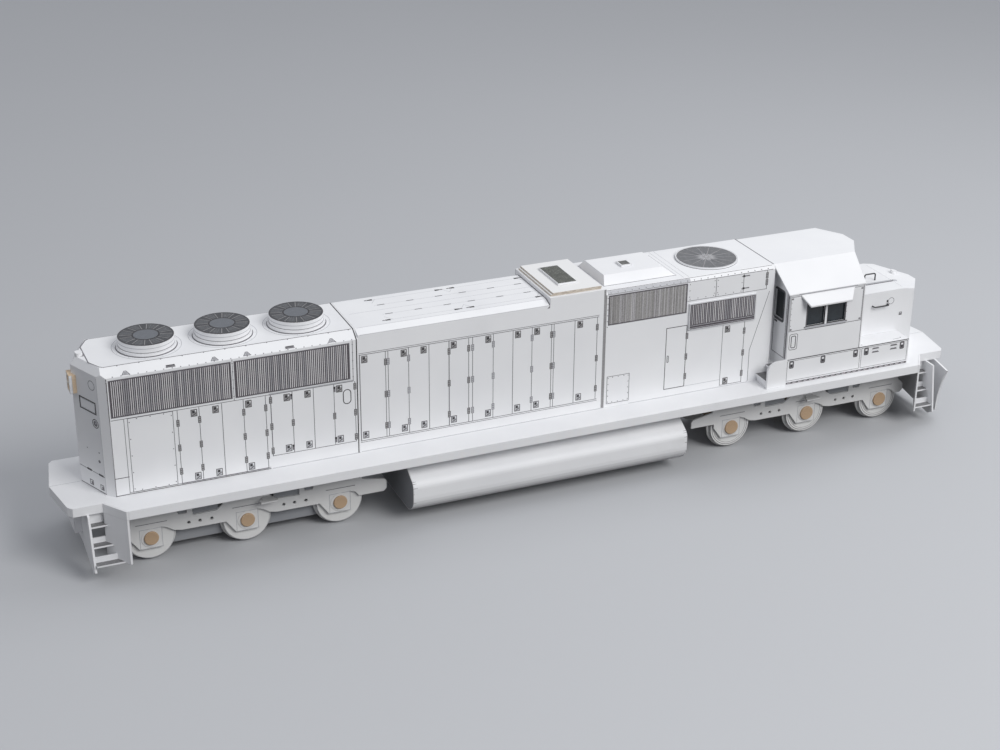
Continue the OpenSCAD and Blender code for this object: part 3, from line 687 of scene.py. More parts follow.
def rounded(u0: float, v0: float, u1: float, v1: float, radius: float, steps: int = 5) -> list[Point]:
    """Returns the points of a rectangle with rounded corners.

    Args:
        u0: Left edge.
        v0: Lower edge.
        u1: Right edge.
        v1: Upper edge.
        radius: Its radius.
        steps: How many steps a corner is drawn in.

    Returns:
        The points, anticlockwise.
    """
    bends = ((u1 - radius, v0 + radius, -90), (u1 - radius, v1 - radius, 0),
             (u0 + radius, v1 - radius, 90), (u0 + radius, v0 + radius, 180))
    return [polar(radius, math.radians(base + 90 * i / steps), u, v)
            for u, v, base in bends for i in range(steps + 1)]


def measure(low: Vector, high: Vector) -> tuple[float, float, float]:
    """Returns the length, width and height of a box in millimetres."""
    return (high.x - low.x) / MM, (high.y - low.y) / MM, (high.z - low.z) / MM


def place(name: str, mesh: bpy.types.Mesh, body: str, slot: str) -> Object:
    """Puts a mesh in the scene as one piece of the model.

    Args:
        name: The piece's name.
        mesh: Its mesh.
        body: The body that it rides on.
        slot: The record's material slot; not used.

    Returns:
        The new object.
    """
    made = bpy.data.objects.new(name, mesh)
    bpy.context.scene.collection.objects.link(made)
    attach(made, body)
    LOG.info("%s: %d faces on %s", name, len(mesh.polygons), body)
    return made


class Artwork:
    """Printed marks and low relief that become one mesh piece."""

    def __init__(self, name: str) -> None:
        """Starts an empty piece.

        Args:
            name: The piece's name.
        """
        self.name = name
        self.points: list[Vector] = []
        self.faces: list[tuple[int, ...]] = []
        self.stocks: list[Stock] = []

    def _face(self, corners: list[int], stock: Stock, flipped: bool) -> None:
        """Adds one face, turned over where the sheet is mirrored."""
        self.faces.append(tuple(reversed(corners)) if flipped else tuple(corners))
        self.stocks.append(stock)

    def _loop(self, sheet: Sheet, outline: list[Point], lift: float) -> list[int]:
        """Adds the points of one outline and returns their numbers.

        Args:
            sheet: The face it lies on.
            outline: Its corners.
            lift: Height over the sheet.

        Returns:
            The points' numbers.
        """
        first = len(self.points)
        self.points += [sheet.at(u, v, lift) for u, v in outline]
        return list(range(first, first + len(outline)))

    def slab(self, sheet: Sheet, outline: list[Point], stock: Stock = BLACK,
             lift: float = PRINT_LIFT, sink: float = PRINT_SINK) -> None:
        """Adds a thin closed slab over an outline.

        Args:
            sheet: The face that it lies on.
            outline: Its corners.
            stock: What it is made of.
            lift: Height of its face over the sheet.
            sink: Depth of its back under the sheet.
        """
        area = sum(a[0] * b[1] - b[0] * a[1] for a, b in zip(outline, outline[1:] + outline[:1]))
        ordered = outline if area > 0 else outline[::-1]
        low, high = self._loop(sheet, ordered, -sink), self._loop(sheet, ordered, lift)
        flipped = sheet.mirrored
        self._face(high, stock, flipped)
        self._face(low[::-1], stock, flipped)
        for i in range(len(high)):
            j = (i + 1) % len(high)
            self._face([low[i], low[j], high[j], high[i]], stock, flipped)

    def band(self, sheet: Sheet, outer: list[Point], inner: list[Point], stock: Stock = BLACK,
             lift: float = PRINT_LIFT, sink: float = PRINT_SINK) -> None:
        """Adds a thin closed band between two outlines, both anticlockwise with as many corners.

        Args:
            sheet: The face it lies on.
            outer: The outer outline.
            inner: The inner outline.
            stock: Its ink or card.
            lift: Its height over the sheet.
            sink: Depth of its back under the sheet.
        """
        flipped = sheet.mirrored
        low_out, low_in = self._loop(sheet, outer, -sink), self._loop(sheet, inner, -sink)
        high_out, high_in = self._loop(sheet, outer, lift), self._loop(sheet, inner, lift)
        for i in range(len(outer)):
            j = (i + 1) % len(outer)
            self._face([high_out[i], high_out[j], high_in[j], high_in[i]], stock, flipped)
            self._face([low_out[j], low_out[i], low_in[i], low_in[j]], stock, flipped)
            self._face([low_out[i], low_out[j], high_out[j], high_out[i]], stock, flipped)
            self._face([low_in[j], low_in[i], high_in[i], high_in[j]], stock, flipped)

    def rect(self, sheet: Sheet, u0: float, v0: float, u1: float, v1: float,
             stock: Stock = BLACK, lift: float = PRINT_LIFT) -> None:
        """Adds a filled rectangle."""
        self.slab(sheet, oblong(u0, v0, u1, v1), stock, lift)

    def plate(self, sheet: Sheet, u: float, v: float, half_w: float, half_h: float,
              stock: Stock = BLACK, lift: float = PRINT_LIFT) -> None:
        """Adds a filled rectangle around a point."""
        self.slab(sheet, oblong(u - half_w, v - half_h, u + half_w, v + half_h), stock, lift)

    def line(self, sheet: Sheet, start: Point, end: Point, width: float = PEN,
             stock: Stock = BLACK, lift: float = PRINT_LIFT) -> None:
        """Adds a straight line with square ends.

        Args:
            sheet: The face it lies on.
            start: Where it starts.
            end: Where it ends.
            width: Width of the line.
            stock: Its ink or card.
            lift: Its height over the sheet.
        """
        way = Vector(end) - Vector(start)
        across = Vector((-way.y, way.x)).normalized() * (width / 2)
        reach = way.normalized() * (width / 2)
        a, b = Vector(start) - reach, Vector(end) + reach
        ends = (a - across, b - across, b + across, a + across)
        self.slab(sheet, [tuple(end) for end in ends], stock, lift)

    def path(self, sheet: Sheet, points: list[Point], width: float = PEN,
             stock: Stock = BLACK) -> None:
        """Adds straight lines through the points in turn."""
        for start, end in zip(points, points[1:]):
            self.line(sheet, start, end, width, stock)

    def outline(self, sheet: Sheet, u0: float, v0: float, u1: float, v1: float,
                width: float = PEN, stock: Stock = BLACK, lift: float = PRINT_LIFT) -> None:
        """Adds the outline of a rectangle, with the given corners on its outer edge."""
        self.band(sheet, oblong(u0, v0, u1, v1), oblong(u0, v0, u1, v1, -width), stock, lift)

    def surround(self, sheet: Sheet, area: Rect, width: float, stock: Stock) -> None:
        """Adds a line round a rectangle, outside its edge."""
        self.band(sheet, oblong(*area, width), oblong(*area), stock)

    def round_outline(self, sheet: Sheet, area: Rect, radius: float, width: float,
                      stock: Stock = BLACK, lift: float = PRINT_LIFT) -> None:
        """Adds the outline of a rectangle with rounded corners.

        Args:
            sheet: The face it lies on.
            area: The rectangle.
            radius: Its radius.
            width: Width of the line.
            stock: Its ink or card.
            lift: Its height over the sheet.
        """
        u0, v0, u1, v1 = area
        inner = rounded(u0 + width, v0 + width, u1 - width, v1 - width, radius - width)
        self.band(sheet, rounded(*area, radius), inner, stock, lift)

    def window(self, sheet: Sheet, pane: Rect, reach: float) -> None:
        """Adds a black frame round a pane, which covers the cut edge and reaches out over the wall."""
        self.band(sheet, oblong(*pane, reach), oblong(*pane, -0.05), BLACK, 0.06, 0.5)

    def ring(self, sheet: Sheet, u: float, v: float, radius: float, width: float = PEN,
             stock: Stock = BLACK, sides: int = 28, lift: float = PRINT_LIFT) -> None:
        """Adds a circle drawn with a line of the given width, inside the radius."""
        self.band(sheet, circle(u, v, radius, sides), circle(u, v, radius - width, sides), stock, lift)

    def dot(self, sheet: Sheet, u: float, v: float, radius: float = BOLT_R,
            stock: Stock = GREY, sides: int = 8, lift: float = PRINT_LIFT) -> None:
        """Adds a filled dot."""
        self.slab(sheet, circle(u, v, radius, sides), stock, lift)

    def bolts(self, sheet: Sheet, start: Point, end: Point, count: int, radius: float = BOLT_R,
              stock: Stock = GREY) -> None:
        """Adds a row of bolt heads, evenly spaced from start to end.

        Args:
            sheet: The face it lies on.
            start: Where it starts.
            end: Where it ends.
            count: How many there are.
            radius: Its radius.
            stock: Its ink or card.
        """
        for i in range(count):
            share = i / (count - 1)
            u = start[0] + (end[0] - start[0]) * share
            v = start[1] + (end[1] - start[1]) * share
            self.dot(sheet, u, v, radius, stock, 6, PRINT_LIFT + 0.03)

    def hinge(self, sheet: Sheet, u: float, v: float, faint: bool = False) -> None:
        """Adds a door hinge: a knuckle with its leaf, printed lightly where it is faint.

        Args:
            sheet: The face it lies on.
            u: Place along the sheet.
            v: Place up the sheet.
            faint: Whether it is printed lightly.
        """
        leaf, line = (PALE, GREY) if faint else (Stock.SEAM, BLACK)
        self.plate(sheet, u, v, 0.62, 1.5, leaf, 0.05)
        self.outline(sheet, u - 0.66, v - 1.55, u + 0.66, v + 1.55, 0.2, line, 0.06)
        for rise in (-0.5, 0.5):
            self.line(sheet, (u - 0.4, v + rise), (u + 0.4, v + rise), 0.18, line, 0.06)

    def latch(self, sheet: Sheet, u: float, v: float, shut: bool = True) -> None:
        """Adds a door latch: a dark plate with its handle, drawn heavier where it is shut.

        Args:
            sheet: The face it lies on.
            u: Place along the sheet.
            v: Place up the sheet.
            shut: Whether it is drawn heavier.
        """
        self.plate(sheet, u, v, 1.3, 1.6, Stock.SEAM if shut else PALE, 0.04)
        self.outline(sheet, u - 1.4, v - 1.7, u + 1.4, v + 1.7, 0.26, BLACK, 0.05)
        self.rect(sheet, u - 0.75, v - 0.1, u + 0.35, v + 1.1, BLACK, 0.055)
        self.line(sheet, (u - 0.6, v - 1.1), (u + 0.7, v - 0.3), 0.34, BLACK, 0.055)
        self.rect(sheet, u + 0.5, v + 0.5, u + 1.05, v + 1.3, Stock.WHITE_CARD, 0.055)

    def small_latch(self, sheet: Sheet, u: float, v: float) -> None:
        """Adds the narrow catch beside a latch."""
        self.plate(sheet, u, v, 0.5, 1.3, GREY, 0.04)
        self.rect(sheet, u - 0.5, v + 0.2, u + 0.5, v + 1.3, BLACK, 0.05)

    def slats(self, sheet: Sheet, u0: float, v0: float, u1: float, v1: float, pitch: float,
              width: float, chance: random.Random, uneven: float = 0.0,
              stocks: tuple[Stock, Stock] = (Stock.SLAT, PALE)) -> None:
        """Adds a grille: a dark field with pale upright slats.

        Args:
            sheet: The face that it lies on.
            u0: Left edge.
            v0: Lower edge.
            u1: Right edge.
            v1: Upper edge.
            pitch: Distance from slat to slat.
            width: Width of a slat.
            chance: Source of the unevenness.
            uneven: How much a slat's width may differ, as a share.
            stocks: What most slats and what the others are printed with.
        """
        self.rect(sheet, u0, v0, u1, v1, Stock.GRILLE, 0.03)
        count = int((u1 - u0 - pitch) / pitch)
        margin = (u1 - u0 - (count - 1) * pitch) / 2
        for i in range(count):
            half = width / 2 * (1 + chance.uniform(-uneven, uneven))
            u = u0 + margin + i * pitch + chance.uniform(-uneven, uneven) * pitch * 0.2
            stock = stocks[1] if chance.random() < 0.3 else stocks[0]
            self.rect(sheet, u - half, v0 + 0.35, u + half, v1 - 0.35, stock, 0.06)

    def piece(self, palette: Palette, body: str = "body", slot: str = "grey_print") -> Object:
        """Makes the mesh piece.

        Args:
            palette: Where the materials come from.
            body: The body that it rides on.
            slot: The record's material slot.

        Returns:
            The new object.
        """
        mesh = bpy.data.meshes.new(self.name)
        mesh.from_pydata(self.points, [], self.faces)
        used = list(dict.fromkeys(self.stocks))
        for stock in used:
            mesh.materials.append(palette[stock])
        mesh.polygons.foreach_set("material_index", [used.index(stock) for stock in self.stocks])
        mesh.update()
        return place(self.name, mesh, body, slot)


def loft(palette: Palette, name: str, rings: list[list[Vector]], stock: Stock, body: str,
         smooth: bool = False) -> Object:
    """Skins a row of rings into one closed piece.

    Args:
        palette: Where the material comes from.
        name: The piece's name.
        rings: Rings of points in metres, each turning right-handed about the way to the next.
        stock: What it is made of.
        body: The body that it rides on.
        smooth: Whether its sides are shaded smooth.

    Returns:
        The new object.
    """
    sides, verts = len(rings[0]), [point for ring in rings for point in ring]
    last = len(verts) - sides
    faces = [(first + k, first + (k + 1) % sides, first + sides + (k + 1) % sides, first + sides + k)
             for first in range(0, last, sides) for k in range(sides)]
    faces += [tuple(reversed(range(sides))), tuple(range(last, len(verts)))]
    mesh = bpy.data.meshes.new(name)
    mesh.from_pydata(verts, [], faces)
    if smooth:
        mesh.shade_smooth()
    mesh.materials.append(palette[stock])
    return place(name, mesh, body, stock.value)


# ---- What the sub-assemblies share -------------------------------------------------------


@dataclass
class Section:
    """A part of the model that carries print, with the box of its main construction node."""

    node: ClassVar[str]
    palette: Palette
    low: Vector = field(init=False)
    high: Vector = field(init=False)

    def __post_init__(self) -> None:
        """Reads the node's box from the frame."""
        self.low, self.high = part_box(self.node)

    @property
    def length(self) -> float:
        """The box's length in millimetres."""
        return (self.high.x - self.low.x) / MM

    def wall(self, side: Side) -> Sheet:
        """Returns the sheet on one side, from the rear and the foot of the box."""
        return side_sheet(self.low.x, self.high.y, self.low.z, side)


@dataclass
class Hood(Section):
    """A hood with upright walls and a folded edge between them and its roof."""

    side_h: float = 55.5
    roof_w: float = 31.6

    def slope(self, side: Side, roof_z: float) -> tuple[Sheet, float]:
        """Returns the sheet on the folded edge of one side and its width.

        Args:
            side: Which side's edge.
            roof_z: Height of the roof in millimetres, in the frame.

        Returns:
            The sheet and its width in millimetres.
        """
        foot = (self.high.y / MM, self.low.z / MM + self.side_h)
        return slope_sheet(self.low.x, foot, (self.roof_w / 2, roof_z), side)


# ---- Hoods ----------------------------------------------------------------------------


@dataclass
class Door:
    """One printed door: its hinge line, the latches at its free edge and the hinge heights."""

    u: float
    hinges: tuple[float, ...] = ()
    latch_at: float | None = None
    double: float = 0.0
    width: float = PEN
    faint: bool = False


@dataclass
class RearHood(Hood):
    """The rear hood's printed sides, pointed end and roof."""

    node: ClassVar[str] = "rear_hood"
    point: float = 10.7
    corner: float = 3.3
    grille_low: float = 37.3
    grille_high: float = 54.1
    grilles: tuple[Point, ...] = ((11.85, 63.5), (65.3, 116.5))
    door_low: float = 0.8
    door_high: float = 36.0
    small_low: float = 6.3
    fan_setback: float = 32.8
    fan_pitch: float = 33.25
    seam_u: float = 120.0
    tab: Rect = (2.5, -1.4, 5.6, 2.4)
    panel: Rect = (18.15, 0.8, 37.65, 36.0)
    handhole: Rect = (113.1, 25.3, 117.0, 32.5)
    hooks: tuple[float, ...] = (89.7, 109.3)
    doors: tuple[Door, ...] = (
        Door(39.45, (29.8, 18.1, 6.8), 46.6), Door(48.85, (29.9, 18.2, 6.9), 56.0), Door(58.75),
        Door(68.25, (29.8, 18.1, 6.8), 70.5), Door(78.05, (30.1, 18.1, 6.9)))
    small_doors: tuple[Door, ...] = (
        Door(80.35, (33.3, 20.6, 8.8), 87.6, width=0.4), Door(90.05, (20.8,), 97.0), Door(99.65),
        Door(109.05, (20.5,), 111.5), Door(118.75, (33.3, 20.6, 8.6)))

    def build(self) -> None:
        """Builds every printed piece of the hood."""
        for side in Side:
            self.side_print(side)
        self.end_print()
        self.roof_print()

    def side_print(self, side: Side) -> None:
        """Prints one side wall and the slope above it.

        Args:
            side: Which side.
        """
        art = Artwork(f"rear_hood_{side.word}_print")
        wall = self.wall(side)
        chance = random.Random(11)
        for u0, u1 in self.grilles:
            art.slats(wall, u0, self.grille_low, u1, self.grille_high, 0.86, 0.3, chance, 0.12)
            art.surround(wall, (u0, self.grille_low, u1, self.grille_high), 0.3, GREY)
        middle = (self.grilles[0][1] + self.grilles[1][0]) / 2
        for u in (self.grilles[0][0] - 1.0, middle, self.grilles[1][1] + 1.6):
            art.line(wall, (u, self.door_high), (u, self.side_h - 0.3), 0.24, GREY)
            art.bolts(wall, (u, self.door_high + 2), (u, self.side_h - 2), 5, 0.28)
        foot, head = self.seam_u - 0.2, self.side_h - 0.1
        art.slab(wall, [(foot - 0.25, 0.3), (foot + 0.25, 0.3), (foot + 0.45, head), (foot - 0.05, head)])
        self._panel(art, wall)
        self._doors(art, wall)
        self._slope(art, side)
        art.piece(self.palette)

    def _panel(self, art: Artwork, wall: Sheet) -> None:
        """Prints the bolted panel at the rear and the long lines of one wall.

        Args:
            art: The piece to add to.
            wall: The wall's sheet.
        """
        left, low, right, high = self.panel
        corner, last = self.point + 0.2, self.side_h - 0.6
        art.outline(wall, *self.panel, 0.26, GREY)
        for u in (left + 0.8, right - 0.8):
            art.bolts(wall, (u, 2.4), (u, 34), 5, 0.26)
        for v in (high - 0.7, low + 0.8):
            art.bolts(wall, (left + 4, v), (right - 4, v), 3, 0.26)
        for u0, v0, u1, v1, width, stock in (
                (16.75, low, 16.75, high, 0.24, GREY),
                (corner + 0.1, 8.6, 17.0, 8.6, PEN, BLACK),
                (corner + 0.1, 0.35, 17.0, 0.35, 0.3, BLACK),
                (corner, 0.3, corner, last, 0.3, GREY),
                (16.75, 0.35, 79, 0.35, 0.3, BLACK),
                (16.75, 1.0, 79, 1.0, 0.22, GREY),
                (11.5, high, 80, high, 0.26, GREY),
                (79.8, high - 0.1, 118.0, high - 0.1, 0.24, GREY),
                (80.0, 0.3, 120.4, 0.3, 0.2, PALE)):
            art.line(wall, (u0, v0), (u1, v1), width, stock)
        art.rect(wall, 79.8, high - 0.1, 118.0, high + 0.6, PALE)

    def _doors(self, art: Artwork, wall: Sheet) -> None:
        """Prints the two groups of doors on one wall.

        Args:
            art: The piece to add to.
            wall: The wall's sheet.
        """
        high = self.door_high - 0.4
        for group, low, latch_low in ((self.doors, self.door_low, 3.2),
                                      (self.small_doors, self.small_low, 8.8)):
            for door in group:
                art.line(wall, (door.u, low), (door.u, high), door.width, GREY)
                for v in door.hinges:
                    art.hinge(wall, door.u, v)
                if door.latch_at:
                    art.latch(wall, door.latch_at, 33.4)
                    art.latch(wall, door.latch_at, latch_low, False)
            art.line(wall, (group[0].u, low), (group[-1].u, low), 0.26, GREY)
        for u in self.hooks:
            for v in (33.4, 8.8):
                art.small_latch(wall, u, v)
        art.round_outline(wall, self.handhole, 1.9, 0.4)

    def _slope(self, art: Artwork, side: Side) -> None:
        """Prints the lifting eyes, brackets and bolts on the slope over one wall.

        Args:
            art: The piece to add to.
            side: Which side.
        """
        slope, width = self.slope(side, self.high.z / MM)
        for start in (self.grilles[0][0] + 7.5, self.grilles[1][0] + 6):
            for u in (start, start + 37.8):
                outer = [(u - 1.8, 0.5), (u + 1.8, 0.5), (u + 0.5, 2.5), (u - 0.5, 2.5)]
                inner = [(u - 1.3, 0.72), (u + 1.3, 0.72), (u + 0.34, 2.28), (u - 0.34, 2.28)]
                art.slab(slope, outer, PALE, 0.04)
                art.band(slope, outer, inner, GREY, 0.08)
                art.ring(slope, u, 1.35, 0.5, 0.18, GREY, 12, 0.1)
            u = start + 19
            art.slab(slope, [(u - 2, 0.8), (u + 2, 0.8), (u + 1.5, 1.9), (u - 1.5, 1.9)], GREY, 0.3)
            art.line(slope, (u - 1.7, 1.7), (u + 1.7, 1.7), 0.3, BLACK, 0.34)
        art.bolts(slope, (self.point + 3, 0.35), (118, 0.35), 30, 0.26)
        art.line(slope, (11.0, width - 0.05), (119.3, width - 0.05), 0.26, GREY)
        art.line(slope, (self.seam_u, 0.1), (self.seam_u, width - 0.1), 0.5)
        art.bolts(slope, (self.point + 6, width - 0.25), (118, width - 0.25), 12, 0.3)

    def end_print(self) -> None:
        """Prints the two faces of the pointed end, with a blank number board on each."""
        art = Artwork("rear_hood_end_print")
        half = self.high.y / MM - self.corner
        slope = (self.point - self.corner) / half
        stretch = math.hypot(1, slope)
        for side in Side:
            along = Vector((slope, side.value, 0)).normalized()
            out = Vector((-1, side.value * slope, 0)).normalized()
            face = Sheet(Vector((self.low.x, 0, self.low.z)), along * stretch, Z, out)
            art.ring(face, 13.5, 50.4, 2.2, 0.26, GREY)
            art.outline(face, 4.4, 37.2, 15.3, 42.9, 0.5, BLACK, 0.12)
            art.outline(face, 5.0, 37.9, 14.7, 42.2, 0.18, PALE, 0.06)
            art.ring(face, 14.0, 32.8, 2.1, 0.36)
            art.dot(face, 14.0, 32.8, 1.3, GREY, 12)
            art.dot(face, 14.3, 33.1, 0.5, PALE, 8, 0.06)
            for u, v, radius in ((6.6, 18.9, 0.3), (14.6, 19.3, 0.35), (14.3, 15.0, 0.75)):
                art.dot(face, u, v, radius)
            for v, width, stock in ((8.4, 0.26, GREY), (0.35, 0.3, BLACK)):
                art.line(face, (0.2, v), (half - 0.2, v), width, stock)
            for u in (6.7, 14.6):
                art.plate(face, u, 8.5, 1.5, 0.4, BLACK, 0.06)
            for u, v in ((7.5, 2.6), (14.6, 2.7)):
                art.outline(face, u - 1.2, v - 1.2, u + 1.2, v + 1.2, 0.3)
                art.rect(face, u - 0.2, v - 0.8, u + 0.8, v + 0.5, GREY)
            art.line(face, (half - 0.1, 0.4), (half - 0.1, 54.6), 0.2, PALE)
        low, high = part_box("rear_headlight")
        depth, _, height = measure(low, high)
        for side in Side:
            cheek = side_sheet(low.x, high.y, low.z, side)
            art.rect(cheek, 0.0, 0.0, depth * 0.42, height, Stock.WHITE_CARD)
            art.line(cheek, (depth * 0.42, 0.1), (depth * 0.42, height - 0.1), 0.12, PALE, 0.04)
        art.piece(self.palette)

    def roof_print(self) -> None:
        """Prints the circles around the fans and the seams, and adds the small tab at the point over a
        painted shadow.
        """
        art = Artwork("rear_hood_roof_print")
        roof = top_sheet(self.low.x, self.high.z)
        half = self.roof_w / 2
        for index in range(3):
            u = self.fan_setback + index * self.fan_pitch
            art.ring(roof, u, 0, 14.9, 0.22, PALE, 64)
            for turn in range(12):
                art.dot(roof, *polar(14.0, math.tau * (turn + 0.5) / 12, u), 0.22, PALE, 6)
            art.ring(roof, u, 0, 13.2, 0.32, GREY, 64)
        art.line(roof, (6.25, -8.6), (6.25, 8.6), 0.5, GREY)
        for sign in (-1, 1):
            fold = [(6.4, sign * 8.8), (9.5, sign * 14.8), (10.6, sign * (half - 0.2))]
            art.path(roof, fold, 0.5, GREY)
        art.line(roof, (self.seam_u, -half), (self.seam_u, half), 0.5)
        u0, v0, u1, v1 = self.tab
        # Grey patch under the tab, showing past its front end and sides: painted shadow of the tab.
        art.slab(roof, rounded(u0 + 1.6, v0 - 0.1, u1 + 0.3, v1 + 0.1, 0.3), GREY, 0.06)
        art.slab(roof, rounded(u0, v0, u1, v1, 1.3), Stock.WHITE_CARD, 1.5)
        art.piece(self.palette)


@dataclass
class RadiatorFans:
    """The printed tops of the three radiator fans."""

    palette: Palette
    blades: int = 8
    hub_share: float = 0.46

    def build(self) -> None:
        """Builds the top of each fan."""
        for index in (1, 2, 3):
            low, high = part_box(f"radiator_fan_{index}")
            art = Artwork(f"radiator_fan_top_{index}")
            top = top_sheet((low.x + high.x) / 2, high.z)
            radius = (high.x - low.x) / 2 / MM - 0.8
            art.slab(top, circle(0, 0, radius - 0.12, 72), Stock.SLATE, 0.12)
            hub = radius * self.hub_share
            for blade in range(self.blades):
                self._blade(art, top, blade, hub + 0.6, radius - 1.0)
            art.ring(top, 0, 0, hub + 0.35, 0.55, BLACK, 48, 0.17)
            art.slab(top, circle(0, 0, hub - 0.15, 48), Stock.HUB, 0.17)
            art.ring(top, 0, 0, radius - 0.1, 0.3, BLACK, 72, 0.15)
            self._drum_lines(art, low, high, radius)
            art.piece(self.palette)

    def _blade(self, art: Artwork, top: Sheet, index: int, inner: float, outer: float) -> None:
        """Prints one blade patch: a wedge with a lighter leading stripe.

        Args:
            art: The piece to add to.
            top: The top's sheet.
            index: The blade's number.
            inner: Radius where it starts.
            outer: Radius where it ends.
        """
        middle = math.tau * (index + 0.35) / self.blades
        spread = math.tau / self.blades * 0.24
        wedge = []
        for radius, turns in ((inner, (-1, 0, 1)), (outer, (1, 0.33, -0.33, -1))):
            for turn in turns:
                angle = middle + spread * turn * (0.75 if radius == inner else 1.0)
                wedge.append(polar(radius, angle))
        art.slab(top, wedge, Stock.BLADE, 0.15)
        for turn, width, stock in ((-1.3, 0.26, Stock.SEAM), (-0.4, 0.14, Stock.HUB),
                                   (0.35, 0.18, Stock.HUB), (1.3, 0.3, Stock.SEAM)):
            angle = middle + spread * turn
            art.line(top, polar(inner, angle), polar(outer, angle), width, stock, 0.17)

    def _drum_lines(self, art: Artwork, low: Vector, high: Vector, radius: float) -> None:
        """Prints the fine lines around a drum, over its base ring.

        Args:
            art: The piece to add to.
            low: Lower corner of the fan's box.
            high: Upper corner of the fan's box.
            radius: The disc's radius in millimetres.
        """
        base = top_sheet((low.x + high.x) / 2, low.z)
        for rise, stock in ((1.45, GREY), (3.3, PALE)):
            outer, inner = circle(0, 0, radius + 0.07, 72), circle(0, 0, radius - 0.3, 72)
            art.band(base, outer, inner, stock, rise + 0.22, -rise)
        outer, inner = circle(0, 0, radius + 0.84, 72), circle(0, 0, radius + 0.5, 72)
        art.band(base, outer, inner, GREY, 0.3, 0.0)


